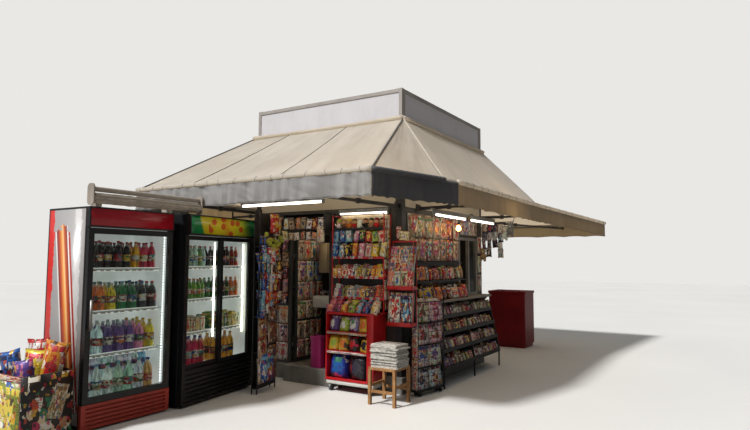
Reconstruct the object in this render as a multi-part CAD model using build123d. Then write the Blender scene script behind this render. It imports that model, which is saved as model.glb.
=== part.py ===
from build123d import *
import os
from math import atan2, degrees, hypot

# All sizes are in millimetres. +X is the serving side, -Y the doorway side, +Z up.
# The origin is the centre of the plinth's underside.

# Cabin
CABIN_HALF_X = 1200
CABIN_HALF_Y = 1320
WALL = 45
POST = 90
POST_CORNER_RADIUS = 8
WALL_TOP = 2450
ROOF_DECK = 70
PLINTH_HEIGHT = 200
PLINTH_MARGIN = 20
PLINTH_CHAMFER = 12
FLOOR_SHEET = 15
STEP_LEFT = CABIN_HALF_X - 1720
STEP_RIGHT = CABIN_HALF_X - 930
STEP_DEPTH = 135

# Doorway and the leaf that stands open inside it
DOOR_LEFT = CABIN_HALF_X - 1735
DOOR_WIDTH = 640
DOOR_TOP = 1935
LEAF_THICKNESS = 40
LEAF_GAP = 8
LEAF_STILE = 60
LEAF_PANEL = 14
HINGE_PIN_FIT = 0.3
HINGE_KNUCKLE = 12
HINGE_OFFSET = 7
HINGE_LENGTH = 100
HINGE_PLATE = 3
HINGE_PLATE_WIDTH = 40
HINGE_HEIGHTS = (480, 1680)

# Serving side
SILL_TOP = 1050
WINDOW_NEAR = CABIN_HALF_Y - 900
WINDOW_FAR = CABIN_HALF_Y - 200
WINDOW_TOP = 1950
WINDOW_FRAME = 40
WINDOW_GLASS = 6
COUNTER_BOARD = 35
COUNTER_REACH = 190
COUNTER_NEAR = -CABIN_HALF_Y + 140
COUNTER_FAR = CABIN_HALF_Y - 90
COUNTER_INSIDE = 100
COUNTER_BRACKET = 150

# Sign box on the roof
SIGN_BOTTOM = 3350
SIGN_HEIGHT = 405
SIGN_RAIL = 45
SIGN_SILL = 14
SIGN_DEPTH = 40
SIGN_PANEL = 8
SIGN_PANEL_RECESS = 10
SIGN_JOINT = 0.3
SIGN_POST = 60
HEAD_BEAM = 60
HEAD_TUBE_RADIUS = 20
SIGN_TOP_SHEET = 6
SIGN_CORNER = 70
SIGN_CORNER_CAP = 4
GABLE_SHEET = 6

# Canopy
CLOTH = 5
CLOTH_SEAM = 6
CLOTH_LACE_DROP = 5
RAIL_RADIUS = 25
RAIL_FIT = 0.3
RAIL_TRIM = 30
CORNER_RAIL_TRIM = 62
REAR_RAIL_EASE = 2
RAIL_HEIGHT = 2450
FRONT_RAIL_Y = -3000
FRONT_RAIL_LEFT = -1620
FRONT_RAIL_RIGHT = 1813
SIDE_RAIL_X = 2136
SIDE_RAIL_NEAR = -1750
SIDE_RAIL_FAR = CABIN_HALF_Y - 4
BACK_RAIL_HALF_X = 2500
BACK_RAIL_Y = 4600
BACK_RAIL_HEIGHT = RAIL_HEIGHT - 94
BACK_CLOTH_TOP = RAIL_HEIGHT + 170
HIP_FOOT = 0.82
HIP_EASE = 3
VALANCE_DROP = 255

# Folding arms: a shoulder bracket with two cheeks, a tube, an elbow with two discs, a second tube and a
# saddle below the canopy's rail
ARM_DROP = 180
ARM_HEIGHT = RAIL_HEIGHT - ARM_DROP
ARM_WIDTH = 30
ARM_DEPTH = 40
ARM_END_WIDTH = 26
ARM_END_DEPTH = 32
ARM_ELBOW_RADIUS = 34
ARM_DISC = 7
ARM_PIN_RADIUS = 9
ARM_PIN_HEAD = 6
ARM_PLATE = 12
ARM_LUG = 40
ARM_CHEEK = 8
ARM_CHEEK_WIDTH = 48
ARM_PLATE_SIZE = 110
ARM_BOLT_RADIUS = 9
ARM_BOLT_HEAD = 7
ARM_SADDLE_LENGTH = 90
ARM_SADDLE_SHEET = 6
FRONT_ARM_SHOULDER = CABIN_HALF_X - 45
FRONT_ARM_ELBOW = (CABIN_HALF_X - 115, -CABIN_HALF_Y - 800)
FRONT_ARM_WRIST = CABIN_HALF_X - 215
SIDE_ARM_Y = CABIN_HALF_Y - 420
SIDE_ARM_ELBOW_BEND = 60
BACK_ARM_SHOULDER = 850
BACK_ARM_ELBOW = (1250, 2900)
BACK_ARM_WRIST = 1700

# Lights
BATTEN_WIDTH = 46
BATTEN_HEIGHT = 42
TUBE_RADIUS = 13
TUBE_GAP = 4
TUBE_CAP = 22
TUBE_CAP_WIDTH = 32
CROSSBAR_RADIUS = 10
CROSSBAR_OVERHANG = 220
FRONT_LIGHT = (-290, 920, -CABIN_HALF_Y - 1220)
WALL_LIGHT_RISE = 55
SIDE_LIGHT_X = CABIN_HALF_X + 300
SIDE_LIGHTS = ((-1040, -40), (90, 1060))
LAMP_Y = -100
LAMP_ARM = 80
LAMP_DROP = 100
LAMP_RADIUS = 32
LAMP_STEM = 6
LAMP_SOCKET = (16, 45)
LAMP_NECK = 30
LAMP_BAND = 16
LAMP_TIP = 22

# First drinks cooler, with one hinged door that faces +X
COOLER_1_FRONT = -494
COOLER_1_NEAR = -4310
COOLER_1_FAR = -3335
COOLER_1_DEPTH = 690
COOLER_HEADROOM = 150
COOLER_HEIGHT = ARM_HEIGHT - ARM_DEPTH / 2 - COOLER_HEADROOM
COOLER_WALL = 45
COOLER_FOOT = 20
COOLER_FOOT_WIDTH = 40
COOLER_GRILLE_TOP = 255
COOLER_HEADER_BOTTOM = COOLER_HEIGHT - 195
COOLER_HEADER_EDGE = 14
COOLER_HEADER_RECESS = 6
COOLER_DOOR = 42
COOLER_DOOR_GAP = 8
COOLER_DOOR_STILE = 55
COOLER_GLASS = 12
COOLER_PIN = 6
COOLER_PIN_INSET = 21
COOLER_PIN_LENGTH = 25
COOLER_BORE_LENGTH = 30
COOLER_FRONT_ROUND = 6
COOLER_SHELF_LEVELS = (0.25, 0.50, 0.75)
COOLER_SHELF = 16
COOLER_SLATS = 5
COOLER_BACK_SLOTS = 8
COOLER_BACK_GRILLE = (420, 14)
HANDLE_LENGTH = 280
HANDLE_FOOT = 30
HANDLE_RADIUS = 11
HANDLE_STAND = 38

# Second drinks cooler, with two sliding doors, turned on the ground
COOLER_2_CORNER = (-430, -3230)
COOLER_2_TURN = 8.0
COOLER_2_WIDTH = 1262
COOLER_2_DEPTH = 655
COOLER_2_GRILLE_TOP = 395
COOLER_2_HEADER_BOTTOM = COOLER_HEIGHT - 228
COOLER_2_HEADER_REACH = 62
SLIDE_DOOR = 24
SLIDE_GAP = 7
SLIDE_OVERLAP = 44
SLIDE_STILE = 46
SLIDE_CLEARANCE = 6
SLIDE_RUNNER = 8
SLIDE_GRIP = (16, 240)
COOLER_2_SLATS = 7

# Racks
RACK_BAR = 12
RACK_SHEET = 8

RED_UNIT = (CABIN_HALF_X - 930, CABIN_HALF_X - 150)
RED_UNIT_DEPTH = 170
RED_UNIT_BOTTOM = 955
RED_UNIT_TOP = 2180
RED_UNIT_SHELVES = (1140, 1395, 1640, 2000)
RED_UNIT_LIP = 28
RED_UNIT_HOLES = 6
RED_UNIT_HOLE_RADIUS = 14

CART = (CABIN_HALF_X - 900, CABIN_HALF_X - 200)
CART_FRONT = -CABIN_HALF_Y - 320
CART_BACK = -CABIN_HALF_Y - 30
CART_BOTTOM = 140
CART_TOP = 950
CART_SHELVES = (485, 720)
CART_SHEET = 15
CASTER_RADIUS = 45
CASTER_WIDTH = 26
CASTER_INSET = 55
CASTER_FORK = 5
CASTER_PLATE = (60, 6)
CART_BASE = (12, 48)

CORNER_RACK = (CABIN_HALF_X - POST, CABIN_HALF_X + 240)
CORNER_RACK_DEPTH = 150
CORNER_RACK_STAND = 58
CORNER_RACK_HOOKS = (1300, 1760)
CORNER_RACK_HOOK = 50
CORNER_RACK_BOTTOM = 824
CORNER_RACK_TOP = 1840
CORNER_RACK_SHELVES = (1260,)

MAGAZINE_RACK_FOOT = (CABIN_HALF_X + 248, -CABIN_HALF_Y - 51)
MAGAZINE_RACK_TURN = -11.9
MAGAZINE_RACK_WIDTH = 515
MAGAZINE_RACK_DEPTH = 95
MAGAZINE_RACK_TOP = 1110
MAGAZINE_RACK_TIERS = 4
MAGAZINE_RACK_FRAME = 22

WIRE_RACK_FOOT = (-234, -2280)
WIRE_RACK_TURN = 13.5
WIRE_RACK_WIDTH = 463
WIRE_RACK_DEPTH = 80
WIRE_RACK_TOP = 2180
WIRE_RACK_TIERS = 5
RACK_FOOT = 60
RACK_POCKET = 0.22

SIDE_SHELF_NEAR = 540 - CABIN_HALF_Y
SIDE_SHELF_FAR = CABIN_HALF_Y - 100
SIDE_SHELVES = ((230, 330), (440, 290), (650, 240), (850, 190))
SIDE_SHELF_LIP = 40
SIDE_SHELF_SHEET = 10

FREEZER = (640, 1340)
FREEZER_NEAR = 3100
FREEZER_DEPTH = 560
FREEZER_HEIGHT = 1040
FREEZER_LID = 45
FREEZER_PLINTH = 60
FREEZER_PLINTH_INSET = 25
FREEZER_LID_REACH = 12
FREEZER_ROUND = 18
FREEZER_FRAME = 45
FREEZER_PANE_DEPTH = 12
FREEZER_GRIP = (160, 18, 14)

SNACK_BIN = (-1010, -494)
SNACK_BIN_NEAR = -4860
SNACK_BIN_FAR = -4400
SNACK_BIN_HEIGHT = 600
SNACK_BIN_SHEET = 10
SNACK_BIN_TRAY = 260

STOOL_CENTRE = (CABIN_HALF_X + 92, -CABIN_HALF_Y - 450)
STOOL_SIZE = 350
STOOL_HEIGHT = 410
STOOL_LEG = 34
STOOL_SEAT = 26
STOOL_STRETCHER = 150
STOOL_STRETCHER_STEP = 60
STOOL_STRETCHER_BAR = (18, 30)
STOOL_ROUND = 12

AWNING_ROLL_NEAR = -4330
AWNING_ROLL_FAR = -3020
AWNING_ROLL_X = -470
AWNING_ROLL_RADIUS = 46
AWNING_ROLL_HEIGHT = COOLER_HEIGHT + 78
AWNING_TUBE_RADIUS = 24
AWNING_TUBE_RISE = 84
AWNING_END = (105, 206, 12)
AWNING_END_ROUND = 40
AWNING_FRONT_BAR = (24, 46)
AWNING_FRONT_BAR_REACH = 50
AWNING_BRACKET = 40
AWNING_BRACKET_REACH = 120
AWNING_BRACKET_INSETS = (60, 100)

floor_top = PLINTH_HEIGHT + FLOOR_SHEET
door_right = DOOR_LEFT + DOOR_WIDTH
inner_x = CABIN_HALF_X - WALL
inner_y = CABIN_HALF_Y - WALL
post_x = CABIN_HALF_X - POST
post_y = CABIN_HALF_Y - POST
deck_top = WALL_TOP + ROOF_DECK
sign_top = SIGN_BOTTOM + SIGN_HEIGHT
head_x = CABIN_HALF_X + HEAD_TUBE_RADIUS
head_y = CABIN_HALF_Y + HEAD_TUBE_RADIUS
head_z = SIGN_BOTTOM - HEAD_TUBE_RADIUS


def block(x0, x1, y0, y1, z0, z1):
    """A box between two planes along each axis."""
    centre = Pos((x0 + x1) / 2, (y0 + y1) / 2, (z0 + z1) / 2)
    return centre * Box(x1 - x0, y1 - y0, z1 - z0)


def rod(start, end, radius):
    """A round bar from one point to another."""
    path = Vector(*end) - Vector(*start)
    place = Plane(origin=Vector(*start), z_dir=path)
    return place * Cylinder(radius, path.length, align=(Align.CENTER, Align.CENTER, Align.MIN))


def flat_bar(start, end, width, depth):
    """A rectangular bar between two points, its depth measured upright."""
    path = Vector(*end) - Vector(*start)
    across = Vector(-path.Y, path.X, 0)
    place = Plane(origin=Vector(*start), x_dir=across, z_dir=path)
    return place * Box(width, depth, path.length, align=(Align.CENTER, Align.CENTER, Align.MIN))


def sheet(corners, thickness, towards):
    """A thin sheet whose one face has the given corners."""
    outline = Wire.make_polygon([Vector(*corner) for corner in corners], close=True)
    return extrude(Face(outline), amount=thickness, dir=towards)


def group(solids):
    """Solids of one node that stay separate pieces."""
    return Compound(children=[part for part in solids])


def fused(solids):
    """Pieces that are welded into one."""
    first, *others = solids
    for other in others:
        first = first + other
    return first


def write(name, shape):
    """Save one node's shape."""
    export_step(shape, os.path.join("parts", name + ".step"))


def mirror_x(point):
    """The point on the other side of the kiosk's middle plane."""
    return (-point[0],) + tuple(point[1:])


# Plinth, step, floor and walls
def cabin_base():
    edge_x = CABIN_HALF_X + PLINTH_MARGIN
    edge_y = CABIN_HALF_Y + PLINTH_MARGIN
    plinth = block(-edge_x, edge_x, -edge_y, edge_y, 0, PLINTH_HEIGHT)
    write("plinth", chamfer(plinth.edges().group_by(Axis.Z)[-1], PLINTH_CHAMFER))
    step = block(STEP_LEFT, STEP_RIGHT, -edge_y - STEP_DEPTH, -edge_y, 0, floor_top)
    write("front_step", chamfer(step.edges().filter_by(Axis.X).group_by(Axis.Z)[-1], PLINTH_CHAMFER))
    floor = block(-inner_x, inner_x, -inner_y, inner_y, PLINTH_HEIGHT, floor_top)
    threshold = block(DOOR_LEFT, door_right, -CABIN_HALF_Y, -inner_y, PLINTH_HEIGHT, floor_top)
    corners = [block(min(x, x + s * WALL), max(x, x + s * WALL), min(y, y + t * WALL), max(y, y + t * WALL),
                     PLINTH_HEIGHT, floor_top)
               for x, s in ((-inner_x, 1), (inner_x, -1)) for y, t in ((-inner_y, 1), (inner_y, -1))]
    write("cabin_floor", fused([floor, threshold]) - corners)


def cabin_walls():
    left = block(-post_x, DOOR_LEFT, -CABIN_HALF_Y, -inner_y, PLINTH_HEIGHT, WALL_TOP)
    right = block(door_right, post_x, -CABIN_HALF_Y, -inner_y, PLINTH_HEIGHT, WALL_TOP)
    write("front_walls", group([left, right]))
    write("front_wall_head", block(DOOR_LEFT, door_right, -CABIN_HALF_Y, -inner_y, DOOR_TOP, WALL_TOP))
    side = block(-CABIN_HALF_X, -inner_x, -post_y, post_y, PLINTH_HEIGHT, WALL_TOP)
    back = block(-post_x, post_x, inner_y, CABIN_HALF_Y, PLINTH_HEIGHT, WALL_TOP)
    write("left_and_back_walls", group([side, back]))
    write("serving_wall_sill", block(inner_x, CABIN_HALF_X, -post_y, post_y, PLINTH_HEIGHT, SILL_TOP))
    near = block(inner_x, CABIN_HALF_X, -post_y, WINDOW_NEAR, SILL_TOP, WALL_TOP)
    far = block(inner_x, CABIN_HALF_X, WINDOW_FAR, post_y, SILL_TOP, WALL_TOP)
    write("serving_wall_sides", group([near, far]))
    write("serving_wall_head", block(inner_x, CABIN_HALF_X, WINDOW_NEAR, WINDOW_FAR, WINDOW_TOP, WALL_TOP))
    posts = []
    for x in (-CABIN_HALF_X, post_x):
        for y in (-CABIN_HALF_Y, post_y):
            post = block(x, x + POST, y, y + POST, PLINTH_HEIGHT, WALL_TOP)
            outer = post.edges().filter_by(Axis.Z).sort_by(lambda e: -hypot(e.center().X, e.center().Y))[0]
            posts.append(fillet(outer, POST_CORNER_RADIUS))
    write("corner_posts", group(posts))
    write("roof_deck", block(-CABIN_HALF_X, CABIN_HALF_X, -CABIN_HALF_Y, CABIN_HALF_Y, WALL_TOP, deck_top))


def serving_window():
    board_top = SILL_TOP + COUNTER_BOARD
    frame = block(inner_x, CABIN_HALF_X, WINDOW_NEAR, WINDOW_FAR, board_top, WINDOW_TOP)
    hole = block(inner_x - 1, CABIN_HALF_X + 1, WINDOW_NEAR + WINDOW_FRAME, WINDOW_FAR - WINDOW_FRAME,
                 board_top + WINDOW_FRAME, WINDOW_TOP - WINDOW_FRAME)
    middle = (WINDOW_NEAR + WINDOW_FAR) / 2
    mullion = block(inner_x, CABIN_HALF_X, middle, middle + WINDOW_FRAME, board_top + WINDOW_FRAME / 2,
                    WINDOW_TOP - WINDOW_FRAME / 2)
    write("serving_window_frame", (frame - hole) + mullion)
    pane_x = (inner_x + CABIN_HALF_X) / 2
    write("serving_window_glass", block(pane_x - WINDOW_GLASS / 2, pane_x + WINDOW_GLASS / 2,
                                        middle + WINDOW_FRAME, WINDOW_FAR - WINDOW_FRAME,
                                        board_top + WINDOW_FRAME, WINDOW_TOP - WINDOW_FRAME))


def serving_counter():
    reach = CABIN_HALF_X + COUNTER_REACH
    board = block(CABIN_HALF_X, reach, COUNTER_NEAR, COUNTER_FAR, SILL_TOP, SILL_TOP + COUNTER_BOARD)
    board = fillet(board.edges().filter_by(Axis.Y).sort_by(Axis.X)[-2:], COUNTER_BOARD / 4)
    inside = block(inner_x - COUNTER_INSIDE, CABIN_HALF_X, WINDOW_NEAR, WINDOW_FAR, SILL_TOP,
                   SILL_TOP + COUNTER_BOARD)
    brackets = []
    for y in (COUNTER_NEAR + WALL, COUNTER_FAR - WALL):
        corners = [(CABIN_HALF_X, y, SILL_TOP), (CABIN_HALF_X + COUNTER_BRACKET, y, SILL_TOP),
                   (CABIN_HALF_X, y, SILL_TOP - COUNTER_BRACKET)]
        brackets.append(sheet(corners, RACK_SHEET, (0, 1, 0)))
    write("serving_counter", fused([board, inside] + brackets))


# The leaf stands open at a right angle, inside the cabin. Its pin is on the wall's inner face.
def door_leaf():
    pin_x = DOOR_LEFT
    pin_y = -inner_y + HINGE_OFFSET
    near = pin_y + HINGE_OFFSET
    length = DOOR_WIDTH - 2 * LEAF_GAP
    x0 = pin_x + HINGE_OFFSET
    leaf = block(x0, x0 + LEAF_THICKNESS, near, near + length, floor_top + LEAF_GAP, DOOR_TOP - LEAF_GAP)
    for side in (x0, x0 + LEAF_THICKNESS - LEAF_PANEL):
        leaf -= block(side, side + LEAF_PANEL, near + LEAF_STILE, near + length - LEAF_STILE,
                      floor_top + LEAF_GAP + LEAF_STILE, DOOR_TOP - LEAF_GAP - LEAF_STILE)
    knuckles = []
    pins = []
    for height in HINGE_HEIGHTS:
        knuckle = rod((pin_x, pin_y, height), (pin_x, pin_y, height + HINGE_LENGTH / 2), HINGE_KNUCKLE / 2)
        strap = block(pin_x, x0, pin_y, near + LEAF_GAP, height, height + HINGE_LENGTH / 2)
        knuckles += [knuckle, strap]
        lower = rod((pin_x, pin_y, height - HINGE_LENGTH / 2), (pin_x, pin_y, height - HINGE_PIN_FIT),
                    HINGE_KNUCKLE / 2)
        plate = block(pin_x - HINGE_PLATE_WIDTH, pin_x, -inner_y, -inner_y + HINGE_PLATE,
                      height - HINGE_LENGTH / 2, height - HINGE_PIN_FIT)
        pins.append(lower + plate)
    write("door_leaf", fused([leaf] + knuckles))
    write("door_hinges", group(pins))


# Sign box, its posts and the tube that the cloth is laced to
def sign_side(length):
    """One flat side of the sign, along X, with its lower left front corner at the origin."""
    opening = block(SIGN_RAIL, length - SIGN_RAIL, -1, SIGN_DEPTH + 1, SIGN_SILL, SIGN_HEIGHT - SIGN_RAIL)
    panel = block(SIGN_RAIL + SIGN_JOINT, length - SIGN_RAIL - SIGN_JOINT, SIGN_PANEL_RECESS,
                  SIGN_PANEL_RECESS + SIGN_PANEL, SIGN_SILL + SIGN_JOINT, SIGN_HEIGHT - SIGN_RAIL - SIGN_JOINT)
    return block(0, length, 0, SIGN_DEPTH, 0, SIGN_HEIGHT) - opening, panel


def sign_box():
    side_length = 2 * (CABIN_HALF_Y - SIGN_DEPTH - SIGN_JOINT)
    places = ((2 * CABIN_HALF_X, Pos(-CABIN_HALF_X, -CABIN_HALF_Y, SIGN_BOTTOM)),
              (2 * CABIN_HALF_X, Pos(CABIN_HALF_X, CABIN_HALF_Y, SIGN_BOTTOM) * Rot(0, 0, 180)),
              (side_length, Pos(CABIN_HALF_X, -side_length / 2, SIGN_BOTTOM) * Rot(0, 0, 90)),
              (side_length, Pos(-CABIN_HALF_X, side_length / 2, SIGN_BOTTOM) * Rot(0, 0, -90)))
    frames = []
    panels = []
    for length, place in places:
        face, panel = sign_side(length)
        frames.append(place * face)
        panels.append(place * panel)
    for number in (0, 1):
        for x, way in ((-CABIN_HALF_X, 1), (CABIN_HALF_X, -1)):
            y = -CABIN_HALF_Y if number == 0 else CABIN_HALF_Y
            back = 1 if number == 0 else -1
            cap = block(min(x, x + way * SIGN_CORNER), max(x, x + way * SIGN_CORNER),
                        min(y, y + back * SIGN_DEPTH), max(y, y + back * SIGN_DEPTH), sign_top,
                        sign_top + SIGN_CORNER_CAP)
            frames[number] = frames[number] + cap
    write("sign_frame", group(frames))
    top_x = CABIN_HALF_X - SIGN_DEPTH - SIGN_JOINT
    top_y = CABIN_HALF_Y - SIGN_DEPTH - SIGN_JOINT
    sheet_bottom = sign_top - SIGN_RAIL
    panels.append(block(-top_x, top_x, -top_y, top_y, sheet_bottom, sheet_bottom + SIGN_TOP_SHEET))
    write("sign_panels", group(panels))


def sign_support():
    beam_bottom = SIGN_BOTTOM - HEAD_BEAM
    posts = []
    for x in (-CABIN_HALF_X, CABIN_HALF_X - SIGN_POST):
        for y in (-CABIN_HALF_Y, CABIN_HALF_Y - SIGN_POST):
            posts.append(block(x, x + SIGN_POST, y, y + SIGN_POST, deck_top, beam_bottom))
    write("sign_posts", group(posts))
    beams = []
    for y in (-CABIN_HALF_Y, CABIN_HALF_Y - HEAD_BEAM):
        beams.append(block(-CABIN_HALF_X, CABIN_HALF_X, y, y + HEAD_BEAM, beam_bottom, SIGN_BOTTOM))
    reach = CABIN_HALF_Y - HEAD_BEAM - SIGN_JOINT
    for x in (-CABIN_HALF_X, CABIN_HALF_X - HEAD_BEAM):
        beams.append(block(x, x + HEAD_BEAM, -reach, reach, beam_bottom, SIGN_BOTTOM))
    write("head_beams", group(beams))
    tubes = []
    for y in (-head_y, head_y):
        tubes.append(rod((-head_x - HEAD_TUBE_RADIUS, y, head_z), (head_x + HEAD_TUBE_RADIUS, y, head_z),
                         HEAD_TUBE_RADIUS))
    reach = head_y - HEAD_TUBE_RADIUS - SIGN_JOINT
    for x in (-head_x, head_x):
        tubes.append(rod((x, -reach, head_z), (x, reach, head_z), HEAD_TUBE_RADIUS))
    write("canopy_head_tubes", group(tubes))
    write("back_gable", block(-CABIN_HALF_X, CABIN_HALF_X, CABIN_HALF_Y, CABIN_HALF_Y + GABLE_SHEET,
                              BACK_CLOTH_TOP, head_z - HEAD_TUBE_RADIUS - SIGN_JOINT))


# Canopy corners, seen from above in order round the kiosk
cloth_y = head_y + HEAD_TUBE_RADIUS + RAIL_FIT
cloth_x = head_x + HEAD_TUBE_RADIUS + RAIL_FIT
cloth_top = SIGN_BOTTOM - CLOTH_LACE_DROP
back_cloth_y = CABIN_HALF_Y + GABLE_SHEET + RAIL_FIT
apex_right = (cloth_x, -cloth_y, cloth_top)
apex_left = mirror_x(apex_right)
far_right = (cloth_x, SIDE_RAIL_FAR, cloth_top)
front_right = (FRONT_RAIL_RIGHT, FRONT_RAIL_Y, RAIL_HEIGHT)
front_left = (FRONT_RAIL_LEFT, FRONT_RAIL_Y, RAIL_HEIGHT)
side_near = (SIDE_RAIL_X, SIDE_RAIL_NEAR, RAIL_HEIGHT)
side_far = (SIDE_RAIL_X, SIDE_RAIL_FAR, RAIL_HEIGHT)
side_near_left = mirror_x(side_near)
hip_right = tuple(Vector(*front_right) + (Vector(*side_near) - Vector(*front_right)) * HIP_FOOT)
hip_left = tuple(Vector(*front_left) + (Vector(*side_near_left) - Vector(*front_left)) * HIP_FOOT)
back_right = (BACK_RAIL_HALF_X, BACK_RAIL_Y, BACK_RAIL_HEIGHT)
back_top = (CABIN_HALF_X, back_cloth_y, BACK_CLOTH_TOP)
down = (0, 0, -1)


def corner_cloth(apex, start, end):
    """A triangle of cloth from the apex down to the rail from start to end, clear of its neighbours' seams."""
    run = (Vector(*end) - Vector(*start)).normalized()
    inside = Vector(-run.Y, run.X, 0) * RAIL_FIT
    low_start = Vector(*start) + run * CLOTH_SEAM + inside
    low_end = Vector(*end) - run * CLOTH_SEAM + inside
    return sheet([apex, tuple(low_start), tuple(low_end)], CLOTH, down)


def canopy_cloth():
    front_top_right = (CABIN_HALF_X, -cloth_y, cloth_top)
    front = sheet([mirror_x(front_top_right), front_top_right, front_right, front_left], CLOTH, down)
    write("canopy_front", front)
    near_top = (cloth_x, -CABIN_HALF_Y, cloth_top)
    right = (sheet([near_top, far_right, side_far, side_near], CLOTH, down)
             + sheet([near_top, side_near, hip_right], CLOTH, down))
    left = (sheet([mirror_x(near_top), mirror_x(far_right), mirror_x(side_far), side_near_left], CLOTH, down)
            + sheet([mirror_x(near_top), side_near_left, hip_left], CLOTH, down))
    write("canopy_sides", group([right, left]))
    write("canopy_corners", group([corner_cloth(apex_right, front_right, hip_right),
                                   corner_cloth(apex_left, hip_left, front_left)]))
    back = sheet([mirror_x(back_top), back_top, back_right, mirror_x(back_right)], CLOTH, down)
    wing = corner_cloth((back_top[0] + CLOTH_SEAM, back_top[1], back_top[2] - CLOTH_SEAM), side_far, back_right)
    write("canopy_back", group([back, wing, mirror(wing, about=Plane.YZ)]))


def valance(start, end):
    """A hanging strip below the line from start to end, thickened towards the outside."""
    run = Vector(*end) - Vector(*start)
    outside = Vector(run.Y, -run.X, 0).normalized()
    start = tuple(Vector(*start) + run.normalized() * RAIL_FIT)
    end = tuple(Vector(*end) - run.normalized() * RAIL_FIT)
    corners = [start, end, (end[0], end[1], end[2] - VALANCE_DROP), (start[0], start[1], start[2] - VALANCE_DROP)]
    return sheet(corners, CLOTH, (outside.X, outside.Y, 0))


def valances():
    write("valance_corners", group([valance(front_right, side_near), valance(side_near_left, front_left)]))
    right = [valance(side_near, side_far), valance(side_far, back_right)]
    left = [mirror(piece, about=Plane.YZ) for piece in right]
    ends = [valance(front_left, front_right), valance(back_right, mirror_x(back_right))]
    write("valances", group(ends + right + left))


def seat_drop(slope):
    """How far below the cloth's edge a rail lies so that it touches the sloping cloth above it."""
    return (RAIL_RADIUS + RAIL_FIT) * (hypot(1, slope) - slope) + CLOTH + RAIL_FIT


def cloth_slope(inner, start, end):
    """The rise of the cloth for each unit of level distance inwards from the edge."""
    run = Vector(end[0] - start[0], end[1] - start[1], 0).normalized()
    across = Vector(-run.Y, run.X, 0)
    distance = (Vector(inner[0] - start[0], inner[1] - start[1], 0)).dot(across)
    along = (Vector(inner[0] - start[0], inner[1] - start[1], 0)).dot(run)
    edge_height = start[2] + (end[2] - start[2]) * along / hypot(end[0] - start[0], end[1] - start[1])
    return (inner[2] - edge_height) / distance


def rail(start, end, inner, trim):
    """A tube under the cloth and behind the valance, along the edge from start to end."""
    run = Vector(*end) - Vector(*start)
    inside = Vector(-run.Y, run.X, 0).normalized() * (RAIL_RADIUS + RAIL_FIT)
    along = run.normalized() * trim
    shift = Vector(inside.X, inside.Y, -seat_drop(cloth_slope(inner, start, end)))
    return rod(tuple(Vector(*start) + shift + along), tuple(Vector(*end) + shift - along), RAIL_RADIUS)


front_drop = seat_drop(cloth_slope(apex_right, front_left, front_right))
side_drop = seat_drop(cloth_slope(apex_right, side_near, side_far))
back_drop = seat_drop(cloth_slope(back_top, back_right, mirror_x(back_right)))


def canopy_rails():
    front = rail(front_left, front_right, apex_right, RAIL_TRIM)
    back = rail(back_right, mirror_x(back_right), back_top, RAIL_TRIM)
    side = rail(side_near, side_far, apex_right, RAIL_TRIM)
    rear = Pos(0, 0, -REAR_RAIL_EASE) * rail(side_far, back_right, back_top, CORNER_RAIL_TRIM)
    pair = [mirror(piece, about=Plane.YZ) for piece in (side, rear)]
    ease = Pos(0, 0, -HIP_EASE)
    corner_right = ease * rail(front_right, side_near, apex_right, CORNER_RAIL_TRIM)
    corner_left = ease * rail(side_near_left, front_left, apex_left, CORNER_RAIL_TRIM)
    write("canopy_rails", group([front, back, side, rear, corner_right, corner_left] + pair))


def stud(x, y, z0, z1, radius, sides=6, end_radius=None):
    """An upright pin, disc or cone with flat sides, from z0 to z1."""
    slope = degrees(atan2(radius - (end_radius or radius), abs(z1 - z0)))
    outline = Pos(x, y, z0) * RegularPolygon(radius, sides)
    return extrude(outline, amount=abs(z1 - z0), dir=(0, 0, 1 if z1 > z0 else -1), taper=slope)


def shoulder_bracket(shoulder, out):
    """A bolted plate with two cheeks and a pin between them."""
    out = Vector(out[0], out[1], 0)
    side = Vector(-out.Y, out.X, 0)
    foot = Vector(*shoulder)
    plate = flat_bar(foot, foot + out * ARM_PLATE, ARM_PLATE_SIZE, ARM_PLATE_SIZE)
    pieces = [plate]
    lug = foot + out * ARM_LUG
    half = ARM_DEPTH / 2
    for z in (half + ARM_CHEEK / 2, -half - ARM_CHEEK / 2):
        level = Vector(0, 0, z)
        pieces.append(flat_bar(foot + level, lug + level, ARM_CHEEK_WIDTH, ARM_CHEEK))
        pieces.append(stud(lug.X, lug.Y, lug.Z + z - ARM_CHEEK / 2, lug.Z + z + ARM_CHEEK / 2, ARM_CHEEK_WIDTH / 2))
    top = half + ARM_CHEEK + ARM_PIN_HEAD
    pieces.append(stud(lug.X, lug.Y, lug.Z - top, lug.Z + top, ARM_PIN_RADIUS))
    reach = ARM_PLATE_SIZE / 2 - 2 * ARM_BOLT_RADIUS
    for sign in (-1, 1):
        centre = foot + side * (sign * reach) + out * ARM_PLATE
        face = Plane(origin=centre, x_dir=side, z_dir=out)
        pieces.append(extrude(face * RegularPolygon(ARM_BOLT_RADIUS, 6), amount=ARM_BOLT_HEAD))
    return pieces, lug


def rail_saddle(wrist, rail_height, along):
    """A pin from the arm's end up to a saddle that carries the rail."""
    saddle_top = rail_height - RAIL_RADIUS
    start = Vector(wrist.X, wrist.Y, saddle_top - ARM_SADDLE_SHEET / 2)
    run = Vector(along[0], along[1], 0) * (ARM_SADDLE_LENGTH / 2)
    pin_bottom = ARM_HEIGHT - ARM_END_DEPTH / 2 - ARM_PIN_HEAD
    return [stud(wrist.X, wrist.Y, pin_bottom, saddle_top, ARM_END_WIDTH / 2),
            flat_bar(start - run, start + run, 2 * RAIL_RADIUS, ARM_SADDLE_SHEET)]


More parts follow.
